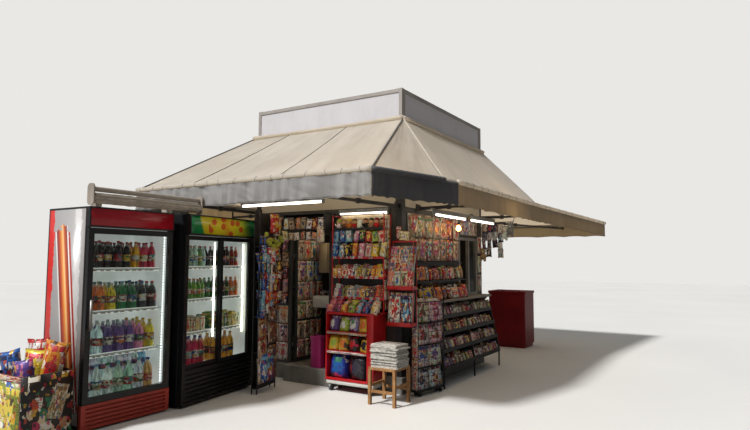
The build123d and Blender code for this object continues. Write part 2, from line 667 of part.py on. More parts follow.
def folding_arm(shoulder, elbow, wrist, rail_height, out):
    """An arm of two tubes at one height, from its wall bracket to its saddle under the rail."""
    pieces, lug = shoulder_bracket(shoulder, out)
    elbow = Vector(*elbow)
    wrist = Vector(*wrist)
    pieces.append(flat_bar(lug, elbow, ARM_WIDTH, ARM_DEPTH))
    pieces.append(flat_bar(elbow, wrist, ARM_END_WIDTH, ARM_END_DEPTH))
    half = ARM_DEPTH / 2
    for z0, z1 in ((-half - ARM_DISC, -half), (half, half + ARM_DISC)):
        pieces.append(stud(elbow.X, elbow.Y, elbow.Z + z0, elbow.Z + z1, ARM_ELBOW_RADIUS, 8))
    pieces.append(stud(elbow.X, elbow.Y, elbow.Z - half, elbow.Z + half, ARM_ELBOW_RADIUS - ARM_DISC))
    top = half + ARM_DISC + ARM_PIN_HEAD
    pieces.append(stud(elbow.X, elbow.Y, elbow.Z - top, elbow.Z + top, ARM_PIN_RADIUS))
    pieces += rail_saddle(wrist, rail_height, (-out[1], out[0]))
    return fused(pieces)


def awning_arms():
    inset = RAIL_RADIUS + RAIL_FIT
    front = folding_arm((FRONT_ARM_SHOULDER, -CABIN_HALF_Y, ARM_HEIGHT),
                        (FRONT_ARM_ELBOW[0], FRONT_ARM_ELBOW[1], ARM_HEIGHT),
                        (FRONT_ARM_WRIST, FRONT_RAIL_Y + inset, ARM_HEIGHT), RAIL_HEIGHT - front_drop, (0, -1))
    arms = [front, mirror(front, about=Plane.YZ)]
    middle_x = (CABIN_HALF_X + SIDE_RAIL_X) / 2
    for y, bend in ((-SIDE_ARM_Y, -SIDE_ARM_ELBOW_BEND), (SIDE_ARM_Y, SIDE_ARM_ELBOW_BEND)):
        arm = folding_arm((CABIN_HALF_X, y, ARM_HEIGHT), (middle_x, y + bend, ARM_HEIGHT),
                          (SIDE_RAIL_X - inset, y, ARM_HEIGHT), RAIL_HEIGHT - side_drop, (1, 0))
        arms += [arm, mirror(arm, about=Plane.YZ)]
    back = folding_arm((BACK_ARM_SHOULDER, CABIN_HALF_Y, ARM_HEIGHT),
                       (BACK_ARM_ELBOW[0], BACK_ARM_ELBOW[1], ARM_HEIGHT),
                       (BACK_ARM_WRIST, BACK_RAIL_Y - inset, ARM_HEIGHT), BACK_RAIL_HEIGHT - back_drop, (0, 1))
    write("awning_arms", group(arms + [back, mirror(back, about=Plane.YZ)]))


# Tube lights: a batten, two end caps and the tube below it
def tube_light(start, end):
    run = (Vector(*end) - Vector(*start)).normalized()
    batten = flat_bar(start, end, BATTEN_WIDTH, BATTEN_HEIGHT)
    below = Vector(0, 0, -BATTEN_HEIGHT / 2 - TUBE_RADIUS - TUBE_GAP)
    caps = []
    for point, way in ((Vector(*start), 1), (Vector(*end), -1)):
        centre = point + below
        caps.append(flat_bar(tuple(centre), tuple(centre + run * (way * TUBE_CAP)), TUBE_CAP_WIDTH,
                             2 * (TUBE_RADIUS + TUBE_GAP)))
    tube = rod(tuple(Vector(*start) + below + run * TUBE_CAP), tuple(Vector(*end) + below - run * TUBE_CAP),
               TUBE_RADIUS)
    return fused([batten] + caps), tube


def lights():
    front_z = ARM_HEIGHT + ARM_END_DEPTH / 2 + CROSSBAR_RADIUS
    side_z = ARM_HEIGHT - ARM_DEPTH / 2 - CROSSBAR_RADIUS
    x0, x1, y = FRONT_LIGHT
    along = (FRONT_ARM_ELBOW[1] - y) / (FRONT_ARM_ELBOW[1] - FRONT_RAIL_Y)
    reach = FRONT_ARM_ELBOW[0] + (FRONT_ARM_WRIST - FRONT_ARM_ELBOW[0]) * along + ARM_WIDTH
    front_bar = rod((-reach, y, front_z), (reach, y, front_z), CROSSBAR_RADIUS)
    side_reach = SIDE_ARM_Y + CROSSBAR_OVERHANG
    side_bar = rod((SIDE_LIGHT_X, -side_reach, side_z), (SIDE_LIGHT_X, side_reach, side_z), CROSSBAR_RADIUS)
    below = CROSSBAR_RADIUS / 2 + BATTEN_HEIGHT / 2
    spans = [((x0, y, front_z - below), (x1, y, front_z - below))]
    spans += [((SIDE_LIGHT_X, near, side_z - below), (SIDE_LIGHT_X, far, side_z - below)) for near, far in SIDE_LIGHTS]
    wall_y = -CABIN_HALF_Y - BATTEN_WIDTH / 2
    wall_z = RED_UNIT_TOP + WALL_LIGHT_RISE
    spans.append(((RED_UNIT[0] + CROSSBAR_RADIUS, wall_y, wall_z), (RED_UNIT[1] - 2 * CROSSBAR_RADIUS, wall_y, wall_z)))
    battens = []
    tubes = []
    for start, end in spans:
        batten, tube = tube_light(start, end)
        battens.append(batten)
        tubes.append(tube)
    front_batten, side_near_batten, side_far_batten, wall_batten = battens
    carried = [front_bar + front_batten, fused([side_bar, side_near_batten, side_far_batten]), wall_batten]
    write("light_battens", group(carried))
    write("light_tubes", group(tubes))
    x = SIDE_LIGHT_X - LAMP_ARM
    lamp_top = side_z - CROSSBAR_RADIUS / 2
    socket_top = lamp_top - LAMP_DROP
    neck_top = socket_top - LAMP_SOCKET[1]
    band_top = neck_top - LAMP_NECK
    band_bottom = band_top - LAMP_BAND
    pieces = [block(x - LAMP_STEM, SIDE_LIGHT_X - CROSSBAR_RADIUS, LAMP_Y - LAMP_STEM, LAMP_Y + LAMP_STEM,
                    lamp_top, side_z + CROSSBAR_RADIUS / 2),
              stud(x, LAMP_Y, socket_top, lamp_top, LAMP_STEM),
              stud(x, LAMP_Y, neck_top, socket_top, LAMP_SOCKET[0], 8),
              stud(x, LAMP_Y, band_top, neck_top, LAMP_RADIUS, 8, LAMP_SOCKET[0]),
              stud(x, LAMP_Y, band_bottom, band_top, LAMP_RADIUS, 8),
              stud(x, LAMP_Y, band_bottom, band_bottom - LAMP_TIP, LAMP_RADIUS, 8, LAMP_SOCKET[0])]
    write("pendant_lamp", fused(pieces))


# Coolers are built in their own frame: X is outwards, Y runs along the front, the near foot at the origin
def cooler_cabinet(width, depth, grille_top, header_bottom, front):
    """A cabinet that is open at the front, from the grille to the header."""
    body = block(-depth, front, 0, width, COOLER_FOOT, COOLER_HEIGHT)
    room = block(-depth + COOLER_WALL, front + 1, COOLER_WALL, width - COOLER_WALL, grille_top, header_bottom)
    half = COOLER_FOOT_WIDTH / 2
    feet = [block(x - half, x + half, y - half, y + half, 0, COOLER_FOOT)
            for x in (-depth + COOLER_WALL, front - COOLER_WALL) for y in (COOLER_WALL, width - COOLER_WALL)]
    body = fillet(body.edges().filter_by(Axis.Z).group_by(Axis.X)[-1], COOLER_FRONT_ROUND) - room
    slots = COOLER_BACK_SLOTS
    top, slot = COOLER_BACK_GRILLE
    pitch = (top - COOLER_FOOT) / (slots + 1)
    for number in range(slots):
        z = COOLER_FOOT + pitch * (number + 0.75)
        body -= block(-depth - 1, -depth + slot, 2 * COOLER_WALL, width - 2 * COOLER_WALL, z, z + slot)
    return fused([body] + feet)


def cooler_shelves(width, depth, grille_top, header_bottom, front):
    """Wire shelves across the cabinet's room."""
    height = header_bottom - grille_top
    shelves = []
    for level in COOLER_SHELF_LEVELS:
        z = grille_top + level * height
        shelves.append(block(-depth + COOLER_WALL, front - COOLER_WALL, COOLER_WALL, width - COOLER_WALL,
                             z, z + COOLER_SHELF))
    return group(shelves)


def cooler_grille(width, grille_top, slats, front):
    """A slatted panel below the doors."""
    panel = block(front, front + COOLER_DOOR, 0, width, COOLER_FOOT, grille_top - COOLER_DOOR_GAP)
    room = grille_top - COOLER_DOOR_GAP - COOLER_FOOT
    pitch = room / (slats + 1)
    for slat in range(slats):
        z = COOLER_FOOT + pitch * (slat + 0.75)
        panel -= block(front + COOLER_DOOR / 2, front + COOLER_DOOR + 1, COOLER_WALL, width - COOLER_WALL,
                       z, z + pitch * 0.5)
    return panel


def cooler_header(width, bottom, back, front):
    """A lit header box with a thin rim round its sunk front sheet."""
    box = block(back, front, 0, width, bottom, COOLER_HEIGHT)
    return box - block(front - COOLER_HEADER_RECESS, front + 1, COOLER_HEADER_EDGE, width - COOLER_HEADER_EDGE,
                       bottom + COOLER_HEADER_EDGE, COOLER_HEIGHT - COOLER_HEADER_EDGE)


def cooler_1():
    place = Pos(COOLER_1_FRONT, COOLER_1_NEAR, 0)
    width = COOLER_1_FAR - COOLER_1_NEAR
    body_front = -COOLER_DOOR - COOLER_DOOR_GAP
    write("cooler_1_cabinet", place * cooler_cabinet(width, COOLER_1_DEPTH, COOLER_GRILLE_TOP,
                                                     COOLER_HEADER_BOTTOM, body_front))
    write("cooler_1_shelves", place * cooler_shelves(width, COOLER_1_DEPTH, COOLER_GRILLE_TOP,
                                                     COOLER_HEADER_BOTTOM, body_front))
    grille = cooler_grille(width, COOLER_GRILLE_TOP, COOLER_SLATS, body_front)
    header = cooler_header(width, COOLER_HEADER_BOTTOM, body_front, 0)
    pin_x = -COOLER_PIN_INSET
    pin_y = width - COOLER_PIN_INSET
    door_bottom = COOLER_GRILLE_TOP
    door_top = COOLER_HEADER_BOTTOM - COOLER_DOOR_GAP
    low_pin = rod((pin_x, pin_y, COOLER_GRILLE_TOP - COOLER_DOOR_GAP), (pin_x, pin_y, door_bottom + COOLER_PIN_LENGTH),
                  COOLER_PIN)
    high_pin = rod((pin_x, pin_y, door_top - COOLER_PIN_LENGTH), (pin_x, pin_y, COOLER_HEADER_BOTTOM), COOLER_PIN)
    write("cooler_1_grille", place * (grille + low_pin))
    write("cooler_1_header", place * (header + high_pin))
    door = block(-COOLER_DOOR, 0, 0, width, door_bottom, door_top)
    hole = block(-COOLER_DOOR - 1, 1, COOLER_DOOR_STILE, width - COOLER_DOOR_STILE,
                 door_bottom + COOLER_DOOR_STILE, door_top - COOLER_DOOR_STILE)
    door = fillet(door.edges().filter_by(Axis.Z).group_by(Axis.Y)[-1], COOLER_DOOR / 2 - 0.5) - hole
    bore = COOLER_PIN + HINGE_PIN_FIT
    door -= rod((pin_x, pin_y, door_bottom - 1), (pin_x, pin_y, door_bottom + COOLER_BORE_LENGTH), bore)
    door -= rod((pin_x, pin_y, door_top - COOLER_BORE_LENGTH), (pin_x, pin_y, door_top + 1), bore)
    handle_y = COOLER_DOOR_STILE / 2
    middle = (door_bottom + door_top) / 2
    low = middle - HANDLE_LENGTH / 2
    high = middle + HANDLE_LENGTH / 2
    handle = [rod((HANDLE_STAND, handle_y, low), (HANDLE_STAND, handle_y, high), HANDLE_RADIUS)]
    handle += [rod((0, handle_y, z), (HANDLE_STAND, handle_y, z), HANDLE_RADIUS * 0.8)
               for z in (low + HANDLE_FOOT, high - HANDLE_FOOT)]
    write("cooler_1_door", place * fused([door] + handle))
    pane = block(-COOLER_DOOR / 2 - COOLER_GLASS / 2, -COOLER_DOOR / 2 + COOLER_GLASS / 2,
                 COOLER_DOOR_STILE, width - COOLER_DOOR_STILE,
                 door_bottom + COOLER_DOOR_STILE, door_top - COOLER_DOOR_STILE)
    write("cooler_1_glass", place * pane)


def cooler_2():
    place = Pos(COOLER_2_CORNER[0], COOLER_2_CORNER[1], 0) * Rot(0, 0, COOLER_2_TURN)
    width = COOLER_2_WIDTH
    recess = 2 * SLIDE_DOOR + 3 * SLIDE_GAP
    cabinet = cooler_cabinet(width, COOLER_2_DEPTH, COOLER_2_GRILLE_TOP, COOLER_2_HEADER_BOTTOM, -recess)
    write("cooler_2_cabinet", place * cabinet)
    write("cooler_2_shelves", place * cooler_shelves(width, COOLER_2_DEPTH, COOLER_2_GRILLE_TOP,
                                                     COOLER_2_HEADER_BOTTOM, -recess))
    cheeks = [block(-recess, 0, y, y + COOLER_WALL, COOLER_2_GRILLE_TOP, COOLER_2_HEADER_BOTTOM)
              for y in (0, width - COOLER_WALL)]
    grille = block(-recess, 0, 0, width, COOLER_FOOT, COOLER_2_GRILLE_TOP)
    pitch = (COOLER_2_GRILLE_TOP - COOLER_FOOT) / (COOLER_2_SLATS + 1)
    for slat in range(COOLER_2_SLATS):
        z = COOLER_FOOT + pitch * (slat + 0.75)
        grille -= block(-recess / 3, 1, COOLER_WALL, width - COOLER_WALL, z, z + pitch * 0.5)
    runners = []
    for front in (-SLIDE_GAP, -2 * SLIDE_GAP - SLIDE_DOOR):
        middle = front - SLIDE_DOOR / 2
        runners.append(block(middle - SLIDE_RUNNER / 2, middle + SLIDE_RUNNER / 2, COOLER_WALL, width - COOLER_WALL,
                             COOLER_2_GRILLE_TOP, COOLER_2_GRILLE_TOP + SLIDE_CLEARANCE - RAIL_FIT))
    write("cooler_2_grille", place * fused([grille] + cheeks + runners))
    write("cooler_2_header", place * cooler_header(width, COOLER_2_HEADER_BOTTOM, -recess, COOLER_2_HEADER_REACH))
    bottom = COOLER_2_GRILLE_TOP + SLIDE_CLEARANCE
    top = COOLER_2_HEADER_BOTTOM - SLIDE_CLEARANCE
    start = COOLER_WALL + SLIDE_CLEARANCE
    end = width - COOLER_WALL - SLIDE_CLEARANCE
    door_width = (end - start + SLIDE_OVERLAP) / 2
    outer = -SLIDE_GAP
    inner = outer - SLIDE_DOOR - SLIDE_GAP
    for name, near, front in (("left", start, inner), ("right", end - door_width, outer)):
        door = block(front - SLIDE_DOOR, front, near, near + door_width, bottom, top)
        door -= block(front - SLIDE_DOOR - 1, front + 1, near + SLIDE_STILE, near + door_width - SLIDE_STILE,
                      bottom + SLIDE_STILE, top - SLIDE_STILE)
        middle = (bottom + top) / 2
        grip_y = near + SLIDE_STILE / 2 if name == "left" else near + door_width - SLIDE_STILE / 2
        door -= block(front - SLIDE_DOOR / 3, front + 1, grip_y - SLIDE_GRIP[0] / 2, grip_y + SLIDE_GRIP[0] / 2,
                      middle - SLIDE_GRIP[1] / 2, middle + SLIDE_GRIP[1] / 2)
        write("cooler_2_door_" + name, place * door)
        pane = block(front - SLIDE_DOOR * 0.75, front - SLIDE_DOOR * 0.5, near + SLIDE_STILE,
                     near + door_width - SLIDE_STILE, bottom + SLIDE_STILE, top - SLIDE_STILE)
        write("cooler_2_glass_" + name, place * pane)


# Display racks
def shelf_box(x0, x1, y0, y1, z0, z1, shelves, thickness, lip):
    """An open-fronted unit that faces -Y, with side sheets, a back, shelves and front lips."""
    pieces = [block(x0, x0 + thickness, y0, y1, z0, z1), block(x1 - thickness, x1, y0, y1, z0, z1),
              block(x0, x1, y1 - thickness, y1, z0, z1)]
    for z in shelves:
        pieces.append(block(x0, x1, y0, y1, z - thickness, z))
        pieces.append(block(x0, x1, y0, y0 + thickness, z - thickness, z - thickness + lip))
    return fused(pieces)


def red_shelf_unit():
    y1 = -CABIN_HALF_Y
    y0 = y1 - RED_UNIT_DEPTH
    unit = shelf_box(RED_UNIT[0], RED_UNIT[1], y0, y1, RED_UNIT_BOTTOM, RED_UNIT_TOP, RED_UNIT_SHELVES,
                     RACK_SHEET, RED_UNIT_LIP)
    pitch = (RED_UNIT_TOP - RED_UNIT_BOTTOM) / (RED_UNIT_HOLES + 1)
    middle_y = (y0 + y1) / 2
    for hole in range(RED_UNIT_HOLES):
        z = RED_UNIT_BOTTOM + pitch * (hole + 0.6)
        unit -= rod((RED_UNIT[1] - 2 * RACK_SHEET, middle_y, z), (RED_UNIT[1] + RACK_SHEET, middle_y, z),
                    RED_UNIT_HOLE_RADIUS)
    write("red_shelf_unit", unit)


def red_cart():
    unit = shelf_box(CART[0], CART[1], CART_FRONT, CART_BACK, CART_BOTTOM, CART_TOP,
                     (CART_BOTTOM + CART_SHEET,) + CART_SHELVES + (CART_TOP,), CART_SHEET, 2 * CART_SHEET)
    inset, drop = CART_BASE
    unit += block(CART[0] + inset, CART[1] - inset, CART_FRONT + inset, CART_FRONT + 2 * inset,
                  CART_BOTTOM - drop, CART_BOTTOM)
    write("red_cart", unit)
    casters = []
    for x in (CART[0] + CASTER_INSET, CART[1] - CASTER_INSET):
        for y in (CART_FRONT + CASTER_INSET, CART_BACK - CASTER_INSET):
            half = CASTER_WIDTH / 2
            pieces = [rod((x - half, y, CASTER_RADIUS), (x + half, y, CASTER_RADIUS), CASTER_RADIUS)]
            plate, sheet_height = CASTER_PLATE
            for side in (x - half - CASTER_FORK, x + half):
                pieces.append(block(side, side + CASTER_FORK, y - half, y + half, CASTER_RADIUS - half,
                                    CART_BOTTOM - sheet_height))
            pieces.append(block(x - half - CASTER_FORK, x + half + CASTER_FORK, y - half, y + half,
                                2 * CASTER_RADIUS + CASTER_FORK, CART_BOTTOM - sheet_height))
            pieces.append(block(x - plate / 2, x + plate / 2, y - plate / 2, y + plate / 2,
                                CART_BOTTOM - sheet_height, CART_BOTTOM))
            casters.append(fused(pieces))
    write("cart_casters", group(casters))


def corner_rack():
    y1 = -CABIN_HALF_Y - CORNER_RACK_STAND
    unit = shelf_box(CORNER_RACK[0], CORNER_RACK[1], y1 - CORNER_RACK_DEPTH, y1, CORNER_RACK_BOTTOM,
                     CORNER_RACK_TOP, (CORNER_RACK_BOTTOM + RACK_SHEET,) + CORNER_RACK_SHELVES, RACK_SHEET,
                     RED_UNIT_LIP)
    for z in CORNER_RACK_HOOKS:
        unit += block(CORNER_RACK[0], CORNER_RACK[0] + CORNER_RACK_HOOK, y1, -CABIN_HALF_Y,
                      z, z + CORNER_RACK_HOOK)
    write("corner_rack", unit)


def tiered_rack(width, depth, top, tiers, frame):
    """A rack that faces +X, its near foot at the origin: a frame, a back sheet and tilted pockets."""
    uprights = [block(-frame, 0, y, y + frame, 0, top) for y in (0, width - frame)]
    rear = [block(-depth, -depth + frame, y, y + frame, 0, top) for y in (0, width - frame)]
    pieces = uprights + rear
    for y in (0, width - frame):
        pieces += [block(-depth, 0, y, y + frame, z, z + frame) for z in (RACK_FOOT, top - frame)]
    pieces.append(block(-depth, -depth + RACK_SHEET, 0, width, RACK_FOOT, top))
    pitch = (top - RACK_FOOT) / tiers
    for tier in range(tiers):
        z = RACK_FOOT + tier * pitch
        pieces.append(block(-depth, 0, 0, width, z, z + RACK_SHEET))
        pieces.append(block(-RACK_SHEET, 0, 0, width, z, z + pitch * RACK_POCKET))
    return fused(pieces)


def standing_racks():
    place = Pos(MAGAZINE_RACK_FOOT[0], MAGAZINE_RACK_FOOT[1], 0) * Rot(0, 0, MAGAZINE_RACK_TURN)
    write("magazine_rack", place * tiered_rack(MAGAZINE_RACK_WIDTH, MAGAZINE_RACK_DEPTH, MAGAZINE_RACK_TOP,
                                               MAGAZINE_RACK_TIERS, MAGAZINE_RACK_FRAME))
    place = Pos(WIRE_RACK_FOOT[0], WIRE_RACK_FOOT[1], 0) * Rot(0, 0, WIRE_RACK_TURN)
    write("wire_rack", place * tiered_rack(WIRE_RACK_WIDTH, WIRE_RACK_DEPTH, WIRE_RACK_TOP,
                                           WIRE_RACK_TIERS, RACK_BAR))


def side_shelves():
    """Stepped shelves below the counter, deeper towards the ground."""
    pieces = []
    for z, reach in SIDE_SHELVES:
        front = CABIN_HALF_X + reach
        pieces.append(block(CABIN_HALF_X, front, SIDE_SHELF_NEAR, SIDE_SHELF_FAR, z - SIDE_SHELF_SHEET, z))
        pieces.append(block(front - SIDE_SHELF_SHEET, front, SIDE_SHELF_NEAR, SIDE_SHELF_FAR,
                            z - SIDE_SHELF_SHEET, z + SIDE_SHELF_LIP))
    low, reach = SIDE_SHELVES[0]
    high, short = SIDE_SHELVES[-1]
    for y in (SIDE_SHELF_NEAR, (SIDE_SHELF_NEAR + SIDE_SHELF_FAR) / 2, SIDE_SHELF_FAR - SIDE_SHELF_SHEET):
        corners = [(CABIN_HALF_X, y, low - SIDE_SHELF_SHEET), (CABIN_HALF_X + reach, y, low - SIDE_SHELF_SHEET),
                   (CABIN_HALF_X + short, y, high), (CABIN_HALF_X, y, high)]
        pieces.append(sheet(corners, SIDE_SHELF_SHEET, (0, 1, 0)))
        foot_x = CABIN_HALF_X + reach - 2 * SIDE_SHELF_SHEET
        pieces.append(block(foot_x - SIDE_SHELF_SHEET, foot_x + SIDE_SHELF_SHEET, y, y + SIDE_SHELF_SHEET, 0, low))
    write("side_shelves", fused(pieces))


def freezer():
    """A chest with a sunk foot, a lid frame and two sliding lids with grips."""
    x0, x1 = FREEZER
    y0 = FREEZER_NEAR
    y1 = FREEZER_NEAR + FREEZER_DEPTH
    body_top = FREEZER_HEIGHT - FREEZER_LID
    body = block(x0, x1, y0, y1, FREEZER_PLINTH, body_top)
    body = fillet(body.edges().filter_by(Axis.Z), FREEZER_ROUND)
    inset = FREEZER_PLINTH_INSET
    base = block(x0 + inset, x1 - inset, y0 + inset, y1 - inset, 0, FREEZER_PLINTH)
    reach = FREEZER_LID_REACH
    lid = block(x0 - reach, x1 + reach, y0 - reach, y1 + reach, body_top, FREEZER_HEIGHT)
    lid = fillet(lid.edges().filter_by(Axis.Z), FREEZER_ROUND)
    middle = (x0 + x1) / 2
    length, width, height = FREEZER_GRIP
    grips = []
    for left, right in ((x0 + FREEZER_FRAME, middle - FREEZER_FRAME / 2), (middle + FREEZER_FRAME / 2, x1 - FREEZER_FRAME)):
        lid -= block(left, right, y0 + FREEZER_FRAME, y1 - FREEZER_FRAME, FREEZER_HEIGHT - FREEZER_PANE_DEPTH,
                     FREEZER_HEIGHT + 1)
        centre = (left + right) / 2
        grips.append(block(centre - width / 2, centre + width / 2, (y0 + y1 - length) / 2, (y0 + y1 + length) / 2,
                           FREEZER_HEIGHT - FREEZER_PANE_DEPTH, FREEZER_HEIGHT - FREEZER_PANE_DEPTH + height))
    write("freezer", fused([body, base, lid] + grips))


def snack_bin():
    outer = block(SNACK_BIN[0], SNACK_BIN[1], SNACK_BIN_NEAR, SNACK_BIN_FAR, 0, SNACK_BIN_HEIGHT)
    inner = block(SNACK_BIN[0] + SNACK_BIN_SHEET, SNACK_BIN[1] - SNACK_BIN_SHEET, SNACK_BIN_NEAR + SNACK_BIN_SHEET,
                  SNACK_BIN_FAR - SNACK_BIN_SHEET, SNACK_BIN_HEIGHT - SNACK_BIN_TRAY, SNACK_BIN_HEIGHT + 1)
    write("snack_bin", outer - inner)


def stool():
    x, y = STOOL_CENTRE
    half = STOOL_SIZE / 2
    seat = block(x - half, x + half, y - half, y + half, STOOL_HEIGHT - STOOL_SEAT, STOOL_HEIGHT)
    seat = fillet(seat.edges().filter_by(Axis.Z), STOOL_ROUND)
    pieces = [seat]
    inset = half - STOOL_LEG
    for sx in (-1, 1):
        for sy in (-1, 1):
            leg_x = x + sx * (inset + STOOL_LEG / 2)
            leg_y = y + sy * (inset + STOOL_LEG / 2)
            pieces.append(block(leg_x - STOOL_LEG / 2, leg_x + STOOL_LEG / 2, leg_y - STOOL_LEG / 2,
                                leg_y + STOOL_LEG / 2, 0, STOOL_HEIGHT - STOOL_SEAT))
    width, depth = STOOL_STRETCHER_BAR
    high = STOOL_STRETCHER + STOOL_STRETCHER_STEP
    for side in (-1, 1):
        rail_y = y + side * (inset + STOOL_LEG / 2)
        pieces.append(flat_bar((x - inset, rail_y, STOOL_STRETCHER), (x + inset, rail_y, STOOL_STRETCHER),
                               width, depth))
        rail_x = x + side * (inset + STOOL_LEG / 2)
        pieces.append(flat_bar((rail_x, y - inset, high), (rail_x, y + inset, high), width, depth))
    write("stool", fused(pieces))


def awning_roll():
    """A rolled awning with its front bar and carrier tube, between two end plates on the first cooler."""
    low = AWNING_ROLL_HEIGHT
    high = low + AWNING_TUBE_RISE
    near = AWNING_ROLL_NEAR
    far = AWNING_ROLL_FAR
    x = AWNING_ROLL_X
    width, depth = AWNING_FRONT_BAR
    reach = AWNING_FRONT_BAR_REACH
    pieces = [rod((x, near, low), (x, far, low), AWNING_ROLL_RADIUS),
              rod((x, near, high), (x, far, high), AWNING_TUBE_RADIUS),
              block(x + reach - width, x + reach, near, far, low - depth / 2, low + depth / 2)]
    wide, tall, thick = AWNING_END
    bottom = low - AWNING_ROLL_RADIUS - AWNING_TUBE_RADIUS
    for y in (near, far - thick):
        plate = block(x - wide / 2, x + wide / 2, y, y + thick, bottom, bottom + tall)
        pieces.append(fillet(plate.edges().filter_by(Axis.Y), AWNING_END_ROUND))
    near_inset, far_inset = AWNING_BRACKET_INSETS
    for y in (COOLER_1_NEAR + near_inset, COOLER_1_FAR - far_inset):
        pieces.append(block(x - AWNING_BRACKET_REACH, x, y, y + AWNING_BRACKET, COOLER_HEIGHT, low))
    write("awning_roll", fused(pieces))


def main():
    os.makedirs("parts", exist_ok=True)
    cabin_base()
    cabin_walls()
    serving_window()
    serving_counter()
    door_leaf()
    sign_box()
    sign_support()
    canopy_cloth()
    valances()
    canopy_rails()
    awning_arms()
    lights()
    cooler_1()
    cooler_2()
    red_shelf_unit()
    red_cart()
    corner_rack()
    standing_racks()
    side_shelves()
    freezer()
    snack_bin()
    stool()
    awning_roll()


main()
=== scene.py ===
import random
from math import cos, pi, radians, sin

import bmesh
import bpy
from mathutils import Matrix, Vector, noise


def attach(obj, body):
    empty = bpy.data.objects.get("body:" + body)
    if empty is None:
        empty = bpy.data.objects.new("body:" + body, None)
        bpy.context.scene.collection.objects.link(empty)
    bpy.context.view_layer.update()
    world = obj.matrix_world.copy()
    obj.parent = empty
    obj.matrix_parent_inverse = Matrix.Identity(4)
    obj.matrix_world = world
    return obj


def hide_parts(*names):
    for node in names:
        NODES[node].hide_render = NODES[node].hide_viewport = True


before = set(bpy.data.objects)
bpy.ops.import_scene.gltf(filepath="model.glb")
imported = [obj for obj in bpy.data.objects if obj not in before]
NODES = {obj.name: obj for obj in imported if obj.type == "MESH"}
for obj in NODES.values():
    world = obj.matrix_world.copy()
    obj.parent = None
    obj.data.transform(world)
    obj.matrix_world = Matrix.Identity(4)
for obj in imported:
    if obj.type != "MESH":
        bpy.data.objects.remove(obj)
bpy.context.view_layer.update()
dice = random.Random(4)
between = dice.uniform

INK = dict(
    red="#B9262B", wine="#7A1E26", orange="#D8742A", yellow="#DDB93A", lime="#9DB43F", green="#2F7A48",
    teal="#2E8A90", sky="#74AFCB", blue="#2859A2", navy="#1F2B52", purple="#66488F", pink="#D07A98",
    magenta="#A83A6C", cream="#D8CDB2", white="#DEDDD8", grey="#8B8C8D", black="#222326", brown="#6A4A34",
    tan="#A58A66", clear="#D5E0DF", cola="#24130E", amber="#C98A1C", rose="#B42A44", plum="#5A3A7A",
    bottle="#1E6B3C")
# Inks to draw from: grounds of covers, their pictures, and bags of snacks
PALE = "cream #CFC9BC cream #C4BBA8 #C9B79B #C08A92 #86A6B4 #B9A78C"
COVERS = "red wine blue brown teal orange purple navy red magenta #3A3A3E green"
SNACKS = "red yellow blue orange purple lime white pink navy brown green cream"


def pick(words):
    """One of some words."""
    return dice.choice(words.split())


def jog(reach):
    """A small draw to either side."""
    return between(-reach, reach)


def linear(shade):
    """An sRGB hex colour as linear RGBA."""
    channels = [int(shade[at:at + 2], 16) / 255 for at in (1, 3, 5)]
    return [c / 12.92 if c <= 0.04045 else ((c + 0.055) / 1.055) ** 2.4 for c in channels] + [1.0]


def add(tree, kind, *given, stops=(), **others):
    """Adds one node; kind may end in its operation. Given values go to the sockets in order. Of the other
    words, a capital marks a socket, and the rest are settings. A node feeds by its first live output."""
    kind, _, operation = kind.partition(" ")
    made = tree.nodes.new(kind if "Node" in kind else "ShaderNode" + kind)
    order = range(len(given))
    if kind == "Mix":
        # Its colour mix has the factor first and the two colours at 6 and 7
        made.data_type = "RGBA"
        order = (0, 6, 7)
    if operation:
        made.operation = operation
    feeds = dict(zip(order, given))
    for key, value in others.items():
        if key[0].isupper():
            feeds[key.replace("_", " ")] = value
        elif key == "stepped":
            made.color_ramp.interpolation = "CONSTANT"
        else:
            setattr(made, key, value)
    if stops:
        ramp = made.color_ramp.elements
        for element, (place, shade) in zip((ramp[0], ramp[1]), (stops[0], stops[-1])):
            element.position = place
            element.color = linear(shade)
        for place, shade in stops[1:-1]:
            ramp.new(place).color = linear(shade)
    for key, value in feeds.items():
        if isinstance(value, bpy.types.Node):
            value = next(socket for socket in value.outputs if socket.enabled)
        if isinstance(value, bpy.types.NodeSocket):
            tree.links.new(value, made.inputs[key])
        else:
            made.inputs[key].default_value = value
    return made


def blank(name):
    """A material with an empty tree."""
    made = bpy.data.materials.new(name)
    made.use_nodes = True
    made.node_tree.nodes.clear()
    return made, made.node_tree


def surface(tree, **feeds):
    """The shader and the output that every opaque finish ends in."""
    shader = add(tree, "BsdfPrincipled", **feeds)
    add(tree, "OutputMaterial", shader)
    return shader


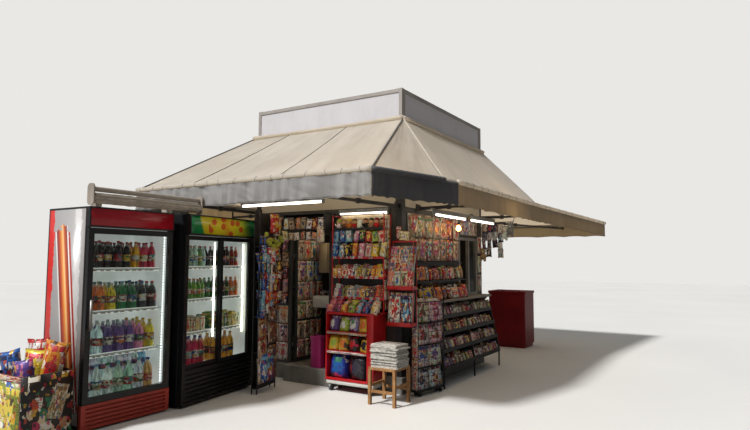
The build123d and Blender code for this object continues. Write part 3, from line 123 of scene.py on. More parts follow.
def worked(name, base, tone, roughness, blotch=0.5, grain=0.01, relief=0.0004, grime=0.0,
           grime_shade="#3B352D", edge=None, round_edge=0.002, metallic=0.0, coat=0.0):
    """A rigid finish: two shades in blotches, a fine grain in the gloss and the relief, grime that runs down,
    and rubbed edges. blotch, grain and round_edge are metres."""
    made, tree = blank(name)
    spot = add(tree, "TexCoord").outputs["Object"]
    wide = add(tree, "TexNoise", Vector=spot, Scale=1 / blotch, Detail=5.0, Roughness=0.6)
    fine = add(tree, "TexNoise", Vector=spot, Scale=1 / grain, Detail=3.0)
    shade = add(tree, "ValToRGB", wide, stops=((0.35, base), (0.7, tone)))
    if grime:
        drip = add(tree, "Mapping", spot, Scale=(9, 9, 0.8))
        drips = add(tree, "TexNoise", Vector=drip, Scale=1.6, Detail=6.0, Roughness=0.65)
        amount = add(tree, "MapRange", drips, 0.5, 0.8, 0.0, grime)
        shade = add(tree, "Mix", amount, shade, linear(grime_shade))
    bevel = add(tree, "Bevel", round_edge, samples=4)
    if edge:
        flat = add(tree, "NewGeometry").outputs["Normal"]
        near = add(tree, "VectorMath DOT_PRODUCT", bevel, flat)
        worn = add(tree, "Math ADD", near, fine)
        amount = add(tree, "MapRange", worn, 1.46, 1.2, 0.0, 0.8)
        shade = add(tree, "Mix", amount, shade, linear(edge))
    gloss = add(tree, "MapRange", fine, 0.3, 0.7, roughness - 0.08, roughness + 0.1)
    bump = add(tree, "Bump", Height=fine, Distance=relief, Normal=bevel)
    surface(tree, Base_Color=shade, Roughness=gloss, Normal=bump, Metallic=metallic, Coat_Weight=coat)
    return made


def canvas(name, base, tone, grime, sunlit):
    """Polyester canvas with a PVC coat: satin, a weave that is drawn 4 mm wide to show, dirt that has run
    down, and sunlight that glows through it."""
    made, tree = blank(name)
    cloth = add(tree, "UVMap", uv_map="cut")
    spot = add(tree, "TexCoord").outputs["Object"]
    wide = add(tree, "TexNoise", Vector=spot, Scale=1.3, Detail=6.0, Roughness=0.62)
    shade = add(tree, "ValToRGB", wide, stops=((0.3, tone), (0.62, base)))
    down = add(tree, "Mapping", cloth, Scale=(5, 0.7, 1))
    runs = add(tree, "TexNoise", Vector=down, Scale=1.5, Detail=7.0, Roughness=0.7)
    amount = add(tree, "MapRange", runs, 0.48, 0.78, 0.0, 0.55)
    shade = add(tree, "Mix", amount, shade, linear(grime))
    turned = add(tree, "Mapping", cloth, Scale=(250, 250, 1))
    warp, weft = [add(tree, "TexWave", Vector=turned, Scale=0.32, bands_direction=way).outputs[1]
                  for way in "XY"]
    weave = add(tree, "Math MAXIMUM", warp, weft)
    creases = add(tree, "TexNoise", Vector=cloth, Scale=3.5, Detail=4.0, Distortion=1.2)
    soft = add(tree, "Bump", Height=creases, Distance=0.012, Strength=0.5)
    bump = add(tree, "Bump", Height=weave, Distance=0.0005, Strength=0.5, Normal=soft)
    shader = add(tree, "BsdfPrincipled", Base_Color=shade, Roughness=0.62, Normal=bump, Sheen_Weight=0.15,
                 Sheen_Roughness=0.5)
    through = add(tree, "BsdfTranslucent", linear(sunlit))
    add(tree, "OutputMaterial", add(tree, "MixShader", 0.55, shader, through))
    return made


LIVELY = ("#1D1B1F #B01C28 #EDE6D6 #D9A428 #8E2328 #C08A64 #F1EDE2 #2B56A0 #D2532B #3A302A #E3C9A4 #2F7A50 "
          "#C4305A #E9E1CF").split()


def printed(name, gloss, film, patches, reach, share):
    """Print of the copy's own: a field of its first ink, a ragged picture of its second, blocks in lively
    inks, a title, small print. reach is the size of the picture, patches the number of blocks across the
    face, share their part of it; film is a crinkled foil, else the print is on paper."""
    made, tree = blank(name)
    face = add(tree, "UVMap", uv_map="cut")
    first, second = [add(tree, "Attribute", attribute_name=ink).outputs["Color"] for ink in ("ink", "second")]
    own = add(tree, "Attribute", attribute_name="own").outputs["Fac"]
    across, up, _ = add(tree, "SeparateXYZ", face).outputs
    moved = add(tree, "CombineXYZ", across, up, add(tree, "Math MULTIPLY", own, 53.0))
    warp = add(tree, "TexNoise", Vector=moved, Scale=6.0, Detail=3.0)
    bent = add(tree, "Mix", 0.04, moved, warp.outputs["Color"])
    away = add(tree, "VectorMath DISTANCE", face, (0.5, 0.45, 0.0))
    ragged = add(tree, "Math MULTIPLY_ADD", warp, -0.6, away)
    inside = add(tree, "MapRange", ragged, reach - 0.28, reach - 0.3)
    shade = add(tree, "Mix", inside, first, second)
    # Blocks of the layout, each in one lively ink, and finer spots that darken them
    for scale, part, strength in ((patches, share, 0.92), (patches * 2.3, share * 0.55, 0.85)):
        cells = add(tree, "TexVoronoi", Vector=bent, Scale=scale, distance="CHEBYCHEV")
        draw = add(tree, "SeparateXYZ", cells.outputs["Color"]).outputs
        steps = [(at / len(LIVELY), ink) for at, ink in enumerate(LIVELY)]
        lively = add(tree, "ValToRGB", draw[0], stops=steps, stepped=True)
        hit = add(tree, "Math MULTIPLY", add(tree, "Math LESS_THAN", draw[1], part), strength)
        shade = add(tree, "Mix", hit, shade, lively)
    # Title blocks: short bars in a band near the top
    bars = add(tree, "Mapping", moved, Scale=(9, 1.2, 1))
    block = add(tree, "TexNoise", Vector=bars, Scale=1.0, Detail=0.0)
    block = add(tree, "Math GREATER_THAN", block, 0.45)
    high = add(tree, "Math COMPARE", up, 0.85, 0.06)
    shade = add(tree, "Mix", add(tree, "Math MULTIPLY", high, block), shade, second)
    # Small print: fine dark rows that come and go
    rows = add(tree, "Math SINE", add(tree, "Math MULTIPLY", up, 160.0))
    rows = add(tree, "Math GREATER_THAN", rows, 0.25)
    faint = add(tree, "Math LESS_THAN", warp, 0.44)
    dark = add(tree, "Math MULTIPLY", add(tree, "Math MULTIPLY", rows, faint), 0.5)
    shade = add(tree, "Mix", dark, shade, linear("#2B2A33"))
    # Sides of a cover lie left of its face in the map, and show the pages
    shade = add(tree, "Mix", add(tree, "Math LESS_THAN", across, 0.0), shade, linear("#B9B2A6"))
    spot = add(tree, "TexCoord").outputs["Object"]
    creases = add(tree, "TexNoise", Vector=spot, Scale=38.0 if film else 12.0, Detail=3.0, Distortion=1.5)
    bump = add(tree, "Bump", Height=creases, Distance=0.007 if film else 0.002, Strength=0.7)
    surface(tree, Base_Color=shade, Roughness=gloss, Normal=bump, Metallic=0.15 if film else 0.0,
            Coat_Weight=0.3 if film else 0.1)
    return made


def inked(name, roughness, ior=1.5, coat=0.0, fill=None, glow=0.0):
    """One ink of the copy's own with a faint mottle; with fill, paler above the level of the drink, and
    streaked with painted light and shade for the refraction in it. glow is a painted glow for the light that
    comes through from behind."""
    made, tree = blank(name)
    shade = add(tree, "Attribute", attribute_name="ink")
    spot = add(tree, "TexCoord").outputs["Object"]
    mottle = add(tree, "TexNoise", Vector=spot, Scale=30.0, Detail=3.0)
    shade = add(tree, "HueSaturation", Color=shade, Value=add(tree, "MapRange", mottle, 0.3, 0.7, 0.8, 1.15))
    if fill:
        face = add(tree, "UVMap", uv_map="cut")
        # Painted light and shade: long streaks lighten and darken the drink, for the refraction in the bottle
        long = add(tree, "Mapping", face, Scale=(14, 2.5, 1))
        refraction_streaks = add(tree, "TexNoise", Vector=long, Scale=1.0, Distortion=0.6)
        depth = add(tree, "MapRange", refraction_streaks, 0.38, 0.62, 0.45, 1.3)
        shade = add(tree, "HueSaturation", Color=shade, Value=depth)
        above = add(tree, "Math GREATER_THAN", add(tree, "SeparateXYZ", face).outputs[1], fill)
        shade = add(tree, "Mix", add(tree, "Math MULTIPLY", above, 0.3), shade, linear("#BFC6C2"))
    bump = add(tree, "Bump", Height=mottle, Distance=0.0008)
    shader = surface(tree, Base_Color=shade, Roughness=roughness, Normal=bump, IOR=ior, Coat_Weight=coat)
    # Painted glow: the drink gives off its own ink colour, for light that comes through it from behind
    if glow:
        tree.links.new(shade.outputs[2], shader.inputs["Emission Color"])
        shader.inputs["Emission Strength"].default_value = glow
    return made


def banded(finish, height, shade):
    """Paints what lies above a height in a second shade."""
    tree = finish.node_tree
    colour = next(node for node in tree.nodes if node.type == "BSDF_PRINCIPLED").inputs["Base Color"]
    up = add(tree, "SeparateXYZ", add(tree, "TexCoord").outputs["Object"]).outputs[2]
    above = add(tree, "Math MULTIPLY", add(tree, "Math GREATER_THAN", up, height), 0.85)
    mixed = add(tree, "Mix", above, colour.links[0].from_socket, linear(shade))
    tree.links.new(mixed.outputs[2], colour)


def glazing(name, tint, dirt):
    """Clear float glass: nearly all let through, a gloss at a slant, a film of dust."""
    made, tree = blank(name)
    spot = add(tree, "TexCoord").outputs["Object"]
    film = add(tree, "TexNoise", Vector=spot, Scale=2.5, Detail=6.0)
    amount = add(tree, "MapRange", film, 0.45, 0.8, 0.0, dirt)
    slant = add(tree, "Math POWER", add(tree, "LayerWeight", 0.5).outputs["Facing"], 4.0)
    rim = add(tree, "Math MULTIPLY_ADD", slant, 0.3, 0.012)
    clear = add(tree, "BsdfTransparent", linear(tint))
    pane = add(tree, "MixShader", rim, clear, add(tree, "BsdfGlossy", Roughness=0.03))
    dust = add(tree, "BsdfDiffuse", linear("#B9B6AD"))
    add(tree, "OutputMaterial", add(tree, "MixShader", amount, pane, dust))
    return made


def lit(name, shade, strength, dim="#FFFFFF"):
    """A lit diffuser, or a part that is no lamp but has a painted glow: an even glow that falls off a little
    in soft blotches.
    """
    made, tree = blank(name)
    soft = add(tree, "TexNoise", Vector=add(tree, "TexCoord").outputs["Object"], Scale=6.0)
    glow = add(tree, "ValToRGB", soft, stops=((0.3, shade), (0.7, dim)))
    surface(tree, Base_Color=glow, Roughness=0.35, Emission_Color=glow, Emission_Strength=strength)
    return made


def beech(name):
    """Oiled beech: pale growth lines 9 mm apart along the length, a dull sheen, handling marks."""
    made, tree = blank(name)
    spot = add(tree, "TexCoord").outputs["Object"]
    long = add(tree, "Mapping", spot, Scale=(60, 60, 5))
    grain = add(tree, "TexNoise", Vector=long, Scale=1.6, Detail=6.0, Distortion=0.6)
    shade = add(tree, "ValToRGB", grain, stops=((0.3, "#7E5632"), (0.55, "#A97B4C"), (0.75, "#C39A66")))
    marks = add(tree, "TexNoise", Vector=spot, Scale=7.0, Detail=5.0)
    shade = add(tree, "Mix", add(tree, "MapRange", marks, 0.55, 0.75, 0.0, 0.5), shade, linear("#5B4230"))
    surface(tree, Base_Color=shade, Roughness=0.55, Normal=add(tree, "Bump", Height=grain, Distance=0.0005))
    return made


def newsprint(name):
    """Folded newsprint: grey-white, rows of print in blocks, ragged sheet edges at the sides."""
    made, tree = blank(name)
    tall = add(tree, "Mapping", add(tree, "TexCoord").outputs["Object"], Scale=(1, 1, 9))
    layers = add(tree, "TexNoise", Vector=tall, Scale=22.0, Detail=6.0)
    shade = add(tree, "ValToRGB", layers, stops=((0.32, "#5F5C58"), (0.42, "#B9B5AC"), (0.65, "#CFCBC2")))
    blocks = add(tree, "TexVoronoi", Vector=tall, Scale=34.0).outputs["Color"]
    shade = add(tree, "Mix", add(tree, "MapRange", blocks, 0.68, 0.72, 0.0, 0.6), shade, linear("#57585C"))
    surface(tree, Base_Color=shade, Roughness=0.9, Normal=add(tree, "Bump", Height=layers, Distance=0.003))
    return made


def red_header_film(name):
    """Backlit header film in a plain red field, with a soft gloss."""
    made, tree = blank(name)
    dust = add(tree, "TexNoise", Vector=add(tree, "TexCoord").outputs["Object"], Scale=5.0, Detail=6.0)
    surface(tree, Base_Color=add(tree, "ValToRGB", dust, stops=((0.35, "#A3101F"), (0.7, "#B51728"))),
            Roughness=0.25, Coat_Weight=0.2)
    return made


def green_header_film(name):
    """Backlit header film in generic green and yellow bands with orange spots, with a soft gloss."""
    made, tree = blank(name)
    face = add(tree, "UVMap", uv_map="cut")
    across, up, _ = add(tree, "SeparateXYZ", face).outputs
    ramp = add(tree, "ValToRGB", add(tree, "Math MULTIPLY_ADD", up, 0.06, across), stops=(
        (0.0, "#10713C"), (0.16, "#138145"), (0.18, "#C7B81F"), (0.45, "#D2C32A"), (0.52, "#CF9A26"),
        (0.6, "#D2C32A"), (0.8, "#9DB52C"), (0.9, "#138145")))
    discs = add(tree, "TexVoronoi", Vector=add(tree, "Mapping", face, Scale=(8, 1.5, 1)), Scale=1.0,
                Randomness=0.8, voronoi_dimensions="2D")
    middle = add(tree, "Math COMPARE", across, 0.5, 0.27)
    inside = add(tree, "Math MULTIPLY", add(tree, "MapRange", discs, 0.3, 0.25), middle)
    surface(tree, Base_Color=add(tree, "Mix", inside, ramp, linear("#C45A22")), Roughness=0.25,
            Coat_Weight=0.2)
    return made


def side_film(name):
    """Vinyl on the cooler's side: a grey field, a red band with a brushed edge, an amber bar, a wash."""
    made, tree = blank(name)
    face = add(tree, "UVMap", uv_map="cut")
    across, up, _ = add(tree, "SeparateXYZ", face).outputs
    brush = add(tree, "Mapping", face, Scale=(3, 14, 1))
    rough = add(tree, "TexNoise", Vector=brush, Scale=1.0, Detail=5.0, Roughness=0.7)
    shade = add(tree, "ValToRGB", add(tree, "Math MULTIPLY_ADD", rough, 0.2, across), stops=(
        (0.0, "#CE1A14"), (0.24, "#D8221A"), (0.252, "#A09D9C"), (0.8, "#ABA8A6"), (0.86, "#CFCBC8"),
        (0.98, "#D6D2CF"), (1.0, "#A9A5A2")))
    # A slanted bar with brushed ends, from rust at its edges to a pale amber core, between two pale lines
    place = add(tree, "MapRange", add(tree, "Math MULTIPLY_ADD", up, 0.5, across), 0.62, 1.04)
    band = add(tree, "Math COMPARE", place, 0.5, 0.49)
    tall = add(tree, "Math COMPARE", add(tree, "Math MULTIPLY_ADD", rough, 0.35, up), 0.66, 0.42)
    amber = add(tree, "ValToRGB", place, stops=(
        (0.0, "#E3DEDA"), (0.08, "#E3DEDA"), (0.1, "#7A1C10"), (0.26, "#B23A17"), (0.4, "#E08A34"),
        (0.5, "#EFC07E"), (0.6, "#C0521C"), (0.78, "#7A1C10"), (0.8, "#E3DEDA"), (0.86, "#E3DEDA"),
        (0.88, "#A62A1C")))
    shade = add(tree, "Mix", add(tree, "Math MULTIPLY", band, tall), shade, amber)
    surface(tree, Base_Color=shade, Roughness=0.3, Coat_Weight=0.2)
    return made


CREAM_CANVAS = canvas("coated canvas, cream", "#DEDAD3", "#C9C4BA", "#8C867C", "#EFE4D2")
TAN_CANVAS = canvas("coated canvas, tan", "#BDB29F", "#A79B88", "#7C7262", "#DCCBAC")
GREY_CANVAS = canvas("coated canvas, grey", "#D2D0CE", "#AEACAA", "#5E5B58", "#B9B8B6")
SEAM_TAPE = worked("seam tape, worn", "#6E6860", "#5A554E", 0.7, 0.1)
DARK_CANVAS = canvas("coated canvas, charcoal", "#868587", "#6C6B6E", "#4A4947", "#5C5C60")
CONCRETE = worked("cast concrete", "#8A8781", "#6F6C66", 0.85, 0.35, 0.012, 0.002, 0.5, "#45413A", "#A29E95",
                  0.006)
WALL_PAINT_AND_LIGHT_BAND = worked("gloss paint on steel sheet", "#3B3936", "#302E2C", 0.45, 0.6, 0.03, 0.0005, 0.4)
POST_PAINT = worked("satin black paint on steel", "#242426", "#1A1A1C", 0.5, 0.3, 0.01, 0.0003, 0.2,
                    "#4A4640", "#57534E", 0.003)
# Painted light: the walls above 2.27 m are painted pale cream for the light of the tubes under the canopy
banded(WALL_PAINT_AND_LIGHT_BAND, 2.27, "#C9C0AE")
ROLL_PAINT = worked("chalky paint on aluminium tube", "#A79C8F", "#7D7368", 0.6, 0.8, 0.05, 0.0004, 0.5,
                    "#4A4038")
ALUMINIUM = worked("mill-finish aluminium", "#A5A19C", "#8F8A85", 0.42, 0.25, 0.008, 0.0002, 0.35, "#5A524B",
                   "#C9C5BF", 0.002, 0.75)
GALVANISED = worked("galvanised steel", "#8E9193", "#777A7C", 0.45, 0.08, 0.012, 0.0002, 0.3, "#5B5650",
                    "#B4B4B2", 0.002, 0.7)
SIGN_SHEET = worked("coated composite sheet, lilac grey", "#D3D0D3", "#C8C5C6", 0.38, 0.7, 0.02, 0.0002, 0.12,
                    "#8E877D")
ARM_BLACK = worked("powder coat, black", "#242528", "#1A1B1D", 0.5, 0.2, 0.004, 0.0002, 0.15, "#4B463F",
                   "#5C5A57")
SIGN_FRAME = worked("anodised section, grey-brown", "#A8A19A", "#938C86", 0.4, 0.3, 0.004, 0.0002, 0.2)
FREEZER_RED = worked("enamel, dark red", "#8E1A20", "#761419", 0.35, 0.3, 0.006, 0.0002, 0.3, "#2C1210")
CABINET_BLACK = worked("stove enamel, black", "#1B1C1E", "#141517", 0.3, 0.5, 0.006, 0.0001, 0.25, "#3A3833",
                       "#3A3B3D", 0.003)
LINER_WHITE = worked("polystyrene liner, white", "#D6D8D6", "#C6C9C8", 0.4, 0.4, 0.01, 0.0001, 0.1, "#9C9A93")
RED_ENAMEL = worked("enamel, signal red", "#C2141C", "#A81118", 0.32, 0.35, 0.006, 0.0002, 0.3, "#4C0F10",
                    "#D0524C", coat=0.3)
RED_GRILLE = worked("moulded ABS, brick red", "#B23A2B", "#9C2F23", 0.45, 0.3, 0.005, 0.0002, 0.3, "#4F1D16",
                    "#C96A58", 0.003)
DOOR_PAINT = worked("oil paint, dark green-black", "#2C302E", "#222624", 0.4, 0.4, 0.01, 0.0003, 0.3,
                    "#47433B", "#5B5C58", 0.003)
CARTON = worked("corrugated carton, printed brown", "#4A3B2A", "#3A2E20", 0.8, 0.2, 0.006, 0.0005, 0.2)
LAMINATE = worked("laminate board, worn", "#8A7F72", "#75695C", 0.42, 0.3, 0.006, 0.0001, 0.2, "#4C443B",
                  "#A39A8D", 0.003)
MAGENTA = worked("moulded polypropylene, magenta", "#C2307E", "#A8266A", 0.4, 0.3, 0.006, 0.0002, 0.2,
                 "#40142E")
BEIGE_PAINT = worked("enamel, beige", "#B9A786", "#A39172", 0.5, 0.3, 0.01, 0.0002, 0.4, "#554734", "#6F6048")
PAPER_WHITE = worked("coated card, white", "#D9D7D0", "#C9C6BE", 0.55, 0.2, 0.01, 0.0002, 0.1, "#8E887C")
GARLAND = worked("moulded vinyl, yellow-green", "#A2A83A", "#8C8F2C", 0.45, 0.05)
BEECH = beech("oiled beech")
NEWSPRINT = newsprint("newsprint")
GLASS = glazing("float glass", "#F2F6F4", 0.02)
TUBE_LIT = lit("tube light, lit", "#FFEFD0", 4.5)
STRIP_LIT = lit("light strip, lit", "#F4F7FF", 2.0)
BULB_LIT = lit("opal bulb, lit", "#FFC868", 22.0, "#FFB850")
# Painted light: the liners, their tops and the price rails are not lamps; their glow stands for the light of
# the strips on them
LINER_GLOW = lit("liner top, lit", "#D9DAD6", 0.35, "#C6C8C5")
LINER_LIT = lit("polystyrene liner, lit by the strips", "#D5D8D6", 0.4, "#C3C7C5")
RAIL_LIT = lit("price rail, PVC, lit by the strips", "#E6E7E4", 0.45, "#DADBD8")
COVER_PRINT = printed("coated cover paper", 0.36, False, 7.0, 0.24, 0.36)
FILM_PRINT = printed("printed foil film", 0.26, True, 6.5, 0.2, 0.16)
SACK_PRINT = printed("crinkled foil bag", 0.2, True, 3.4, 0.24, 0.05)
BOX_PRINT = printed("folding box board", 0.5, False, 4.0, 0.24, 0.2)
BOARD_PRINT = printed("printed board", 0.4, False, 9.0, 0.3, 0.34)
LABEL_PRINT = printed("label film", 0.3, False, 4.0, 0.3, 0.4)
# The drink has a painted glow for the light behind it
DRINK = inked("PET bottle with drink", 0.08, 1.57, 0.6, 0.86, glow=0.1)
CAP = inked("ribbed cap, polyethylene", 0.42)
PLUSH = inked("short-pile plush", 0.95)
HEADER_RED = red_header_film("header film, red")
HEADER_GREEN = green_header_film("header film, green and yellow")
SIDE_POSTER = side_film("printed vinyl, grey and red")
NODES_OF = (
    (CONCRETE, "plinth front_step"), (LAMINATE, "cabin_floor serving_counter"),
    (WALL_PAINT_AND_LIGHT_BAND, "front_walls front_wall_head left_and_back_walls serving_wall_sill serving_wall_sides "
                 "serving_wall_head"),
    (POST_PAINT, "corner_posts side_shelves"),
    (GALVANISED, "roof_deck door_hinges head_beams canopy_head_tubes light_battens cart_casters"),
    (ALUMINIUM, "serving_window_frame sign_posts canopy_rails"), (DOOR_PAINT, "door_leaf"),
    (GLASS, "serving_window_glass cooler_1_glass cooler_2_glass_left cooler_2_glass_right"),
    (SIGN_FRAME, "sign_frame"), (SIGN_SHEET, "sign_panels"), (CREAM_CANVAS, "back_gable"),
    (ARM_BLACK, "awning_arms magazine_rack wire_rack"), (TUBE_LIT, "light_tubes"), (BULB_LIT, "pendant_lamp"),
    (CABINET_BLACK, "cooler_1_cabinet cooler_1_header cooler_1_door cooler_2_cabinet cooler_2_grille "
                    "cooler_2_header cooler_2_door_left cooler_2_door_right"),
    (LINER_WHITE, "cooler_1_shelves cooler_2_shelves"), (RED_GRILLE, "cooler_1_grille"),
    (RED_ENAMEL, "red_shelf_unit red_cart corner_rack"), (FREEZER_RED, "freezer"), (CARTON, "snack_bin"),
    (BEECH, "stool"), (ROLL_PAINT, "awning_roll"))


def rings(count, sides):
    """The faces of a closed round bar: quads from ring to ring, then its two ends."""
    faces = [[a, b, b + sides, a + sides] for ring in range(count - 1) for a, b in
             ((ring * sides + s, ring * sides + (s + 1) % sides) for s in range(sides))]
    return faces + [list(range(sides))[::-1], [(count - 1) * sides + s for s in range(sides)]]


def quads(columns, rows, start=0):
    """The faces of a grid of points that runs row by row."""
    wide = columns + 1
    return [[a, a + 1, a + wide + 1, a + wide] for a in
            (start + j * wide + i for j in range(rows) for i in range(columns))]


def weld(mesh, reach, outwards=False):
    """Joins doubled corners, turns the faces outwards if asked to, and gives their area."""
    work = bmesh.new()
    work.from_mesh(mesh)
    bmesh.ops.remove_doubles(work, verts=work.verts, dist=reach)
    if outwards:
        bmesh.ops.recalc_face_normals(work, faces=work.faces)
    area = sum(face.calc_area() for face in work.faces)
    work.to_mesh(mesh)
    work.free()
    return area


class Build:
    """Collects the faces of one piece in the frame of its place, then makes them one mesh."""

    def __init__(self, place=None):
        self.place = place or Matrix()
        self.points, self.faces, self.cuts, self.slots = [], [], [], []

    def add(self, points, faces, cuts=None, slot=0, place=None):
        """Faces with one map corner for each of their corners; place is within the build's own."""
        start = len(self.points)
        where = self.place @ place if place else self.place
        self.points += [where @ Vector(p) for p in points]
        self.faces += [[start + i for i in face] for face in faces]
        self.cuts += cuts or [[(0, 0)] * len(face) for face in faces]
        self.slots += [slot] * len(faces)

    def mesh(self, name, *finishes, smooth=True):
        """An object of all faces, with the finishes in the order of their slots."""
        mesh = bpy.data.meshes.new(name)
        mesh.from_pydata([tuple(p) for p in self.points], [], self.faces)
        flat = [value for face in self.cuts for corner in face for value in corner]
        mesh.uv_layers.new(name="cut").data.foreach_set("uv", flat)
        for finish in finishes:
            mesh.materials.append(finish)
        mesh.polygons.foreach_set("material_index", self.slots)
        mesh.polygons.foreach_set("use_smooth", [smooth] * len(self.faces))
        mesh.validate()
        made = bpy.data.objects.new(name, mesh)
        bpy.context.scene.collection.objects.link(made)
        return made

    def piece(self, name, *finishes, body="kiosk", stands_for=()):
        """The object, riding on a body, and in place of the nodes it stands for."""
        made = self.mesh(name, *finishes)
        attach(made, body)
        if stands_for:
            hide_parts(*stands_for)
        return made

    def box(self, x0, x1, y0, y1, z0, z1, edge=0.003, slot=0):
        """A box with chamfered edges: three points at each corner, one on each side that meets there."""
        low, high = (x0, y0, z0), (x1, y1, z1)
        points, faces = [], []
        for corner in range(8):
            for axis in range(3):
                inward = [0 if i == axis else edge for i in range(3)]
                points.append([high[i] - inward[i] if corner >> i & 1 else low[i] + inward[i]
                               for i in range(3)])
        turns = ((0, 1, 2), (1, 0, 2), (2, 0, 1))
        for axis, one, two in turns:
            for end in (0, 1):
                faces.append([3 * (end << axis | a << one | b << two) + axis
                              for a, b in ((0, 0), (1, 0), (1, 1), (0, 1))])
        for axis, one, two in turns:
            for near in (a << one | b << two for a in (0, 1) for b in (0, 1)):
                far = near | 1 << axis
                faces.append([3 * near + one, 3 * far + one, 3 * far + two, 3 * near + two])
        faces += [[3 * corner + axis for axis in range(3)] for corner in range(8)]
        middle = (Vector(low) + Vector(high)) / 2
        for at, face in enumerate(faces):
            a, b, c = (Vector(points[i]) for i in face[:3])
            if (b - a).cross(c - b).dot((a + c) / 2 - middle) <= 0:
                faces[at] = face[::-1]
        self.add(points, faces, slot=slot)

    def boxes(self, *rows, edge=0.002, slot=0):
        """Boxes of one edge and finish."""
        for row in rows:
            self.box(*row, edge, slot)

    def tube(self, path, radius, sides=10, slot=0, taper=None):
        """A round bar along a path, closed at both ends."""
        path = [Vector(p) for p in path]
        points, turn, last = [], None, len(path) - 1
        for at, point in enumerate(path):
            ahead = (path[min(at + 1, last)] - path[max(at - 1, 0)]).normalized()
            turn = turn or ahead.orthogonal().normalized()
            turn = (turn - ahead * turn.dot(ahead)).normalized()
            side = ahead.cross(turn)
            size = radius * (taper(at / last) if taper else 1)
            for angle in (2 * pi * step / sides for step in range(sides)):
                points.append(point + (turn * cos(angle) + side * sin(angle)) * size)
        self.add(points, rings(last + 1, sides), slot=slot)

    def lathe(self, profile, sides=12, place=None):
        """A turned shape: profile is (radius, height) from the bottom up, closed by flat ends."""
        points = [(radius * cos(2 * pi * s / sides), radius * sin(2 * pi * s / sides), height)
                  for radius, height in profile for s in range(sides)]
        ups = [height / profile[-1][1] for _, height in profile]
        cuts = [[(s / sides, low), ((s + 1) / sides, low), ((s + 1) / sides, high), (s / sides, high)]
                for low, high in zip(ups, ups[1:]) for s in range(sides)]
        cuts += [[(0, 0)] * sides, [(0, 1)] * sides]
        self.add(points, rings(len(profile), sides), cuts, place=place)


# The shapes that goods repeat: each 1 wide, 1 deep and 1 high, with its face towards -Y
def cover_shape():
    """A magazine: a slightly bowed face, and pages at its sides."""
    build = Build()
    columns, rows = 3, 4
    grid = [(i / columns, j / rows) for j in range(rows + 1) for i in range(columns + 1)]
    points = [(u - 0.5, -0.5 * sin(pi * u) * (1 - 0.5 * v), v) for u, v in grid]
    points += [(u - 0.5, 1.0, v) for u, v in grid]
    faces = quads(columns, rows)
    cuts = [[grid[k] for k in face] for face in faces]
    count, wide = len(grid), columns + 1
    rim = list(range(columns)) + [columns + j * wide for j in range(rows)]
    rim += [rows * wide + i for i in range(columns, 0, -1)] + [j * wide for j in range(rows, 0, -1)]
    faces += [[b, a, a + count, b + count] for a, b in zip(rim, rim[1:] + rim[:1])]
    cuts += [[(-0.6, 0.0), (-0.6, 1.0), (-0.5, 1.0), (-0.5, 0.0)]] * len(rim)
    faces.append([i + count for i in rim][::-1])
    cuts.append([(0.5, 0.5)] * len(rim))
    build.add(points, faces, cuts)
    return build.mesh("cover")


def packet_shape():
    """A filled film bag with flat crimped ends."""
    build = Build()
    columns, ups = 4, [0.0, 0.07, 0.25, 0.5, 0.75, 0.93, 1.0]
    rows = len(ups) - 1
    faces, cuts, points = [], [], []
    for side in (-1, 1):
        start = len(points)
        for j, v in enumerate(ups):
            crimped = j in (0, rows)
            for u in (i / columns for i in range(columns + 1)):
                swell = 0.0 if crimped else (4 * u * (1 - u)) ** 0.5 * (4 * v * (1 - v)) ** 0.4
                waist = 1 - 0.13 * sin(pi * v) ** 0.5
                ripple = 0.05 * sin(9 * u) if crimped else 0.0
                points.append(((u - 0.5) * waist, side * 0.5 * swell + ripple,
                               v + 0.03 * cos(2 * pi * u) * (v - 0.5)))
        for face in quads(columns, rows, start):
            cut = [((k - start) % (columns + 1) / columns, ups[(k - start) // (columns + 1)]) for k in face]
            faces.append(face if side < 0 else face[::-1])
            cuts.append(cut if side < 0 else cut[::-1])
    build.add(points, faces, cuts)
    made = build.mesh("packet")
    weld(made.data, 0.001, outwards=True)
    return made


def carton_shape():
    """A box with its print on all sides and small chamfers at its upright edges."""
    build = Build()
    e = 0.02
    foot = ((e - 0.5, 0), (0.5 - e, 0), (0.5, e), (0.5, 1 - e), (0.5 - e, 1), (e - 0.5, 1), (-0.5, 1 - e),
            (-0.5, e))
    points = [(x, y, z) for x, y in foot for z in (0, 1)]
    faces = [[2 * at, (2 * at + 2) % 16, (2 * at + 2) % 16 + 1, 2 * at + 1] for at in range(8)]
    cuts = [[(0, 0), (1, 0), (1, 1), (0, 1)]] * 8
    top = [(x + 0.5, y) for x, y in foot]
    faces += [list(range(1, 16, 2)), list(range(0, 16, 2))[::-1]]
    build.add(points, faces, cuts + [top, top[::-1]])
    return build.mesh("carton", smooth=False)


def turned_shape(profile, sides=12):
    """Radii are shares of the piece's radius, and heights are shares of its height."""
    build = Build()
    build.lathe(profile, sides)
    return build.mesh("turned")


def goods_tree():
    """Stands a copy of the shape on every point, with the point's own turn and size, in its finish."""
    tree = bpy.data.node_groups.new("stand goods on points", "GeometryNodeTree")
    for name, kind in (("Points", "Geometry"), ("Shape", "Object"), ("Overall size", "Float"),
                       ("Finish", "Material")):
        tree.interface.new_socket(name, in_out="INPUT", socket_type="NodeSocket" + kind)
    tree.interface.new_socket("Goods", in_out="OUTPUT", socket_type="NodeSocketGeometry")
    given = add(tree, "NodeGroupInput").outputs
    shape = add(tree, "GeometryNodeObjectInfo", Object=given["Shape"]).outputs["Geometry"]
    turn, size = [add(tree, "GeometryNodeInputNamedAttribute", Name=name, data_type="FLOAT_VECTOR").outputs[0]
                  for name in ("turn", "size")]
    whole = add(tree, "VectorMath SCALE", size, Scale=given["Overall size"])
    stood = add(tree, "GeometryNodeInstanceOnPoints", Points=given["Points"], Instance=shape,
                Rotation=add(tree, "FunctionNodeEulerToRotation", turn), Scale=whole)
    real = add(tree, "GeometryNodeRealizeInstances", stood)
    add(tree, "NodeGroupOutput", add(tree, "GeometryNodeSetMaterial", real, Material=given["Finish"]))
    return tree


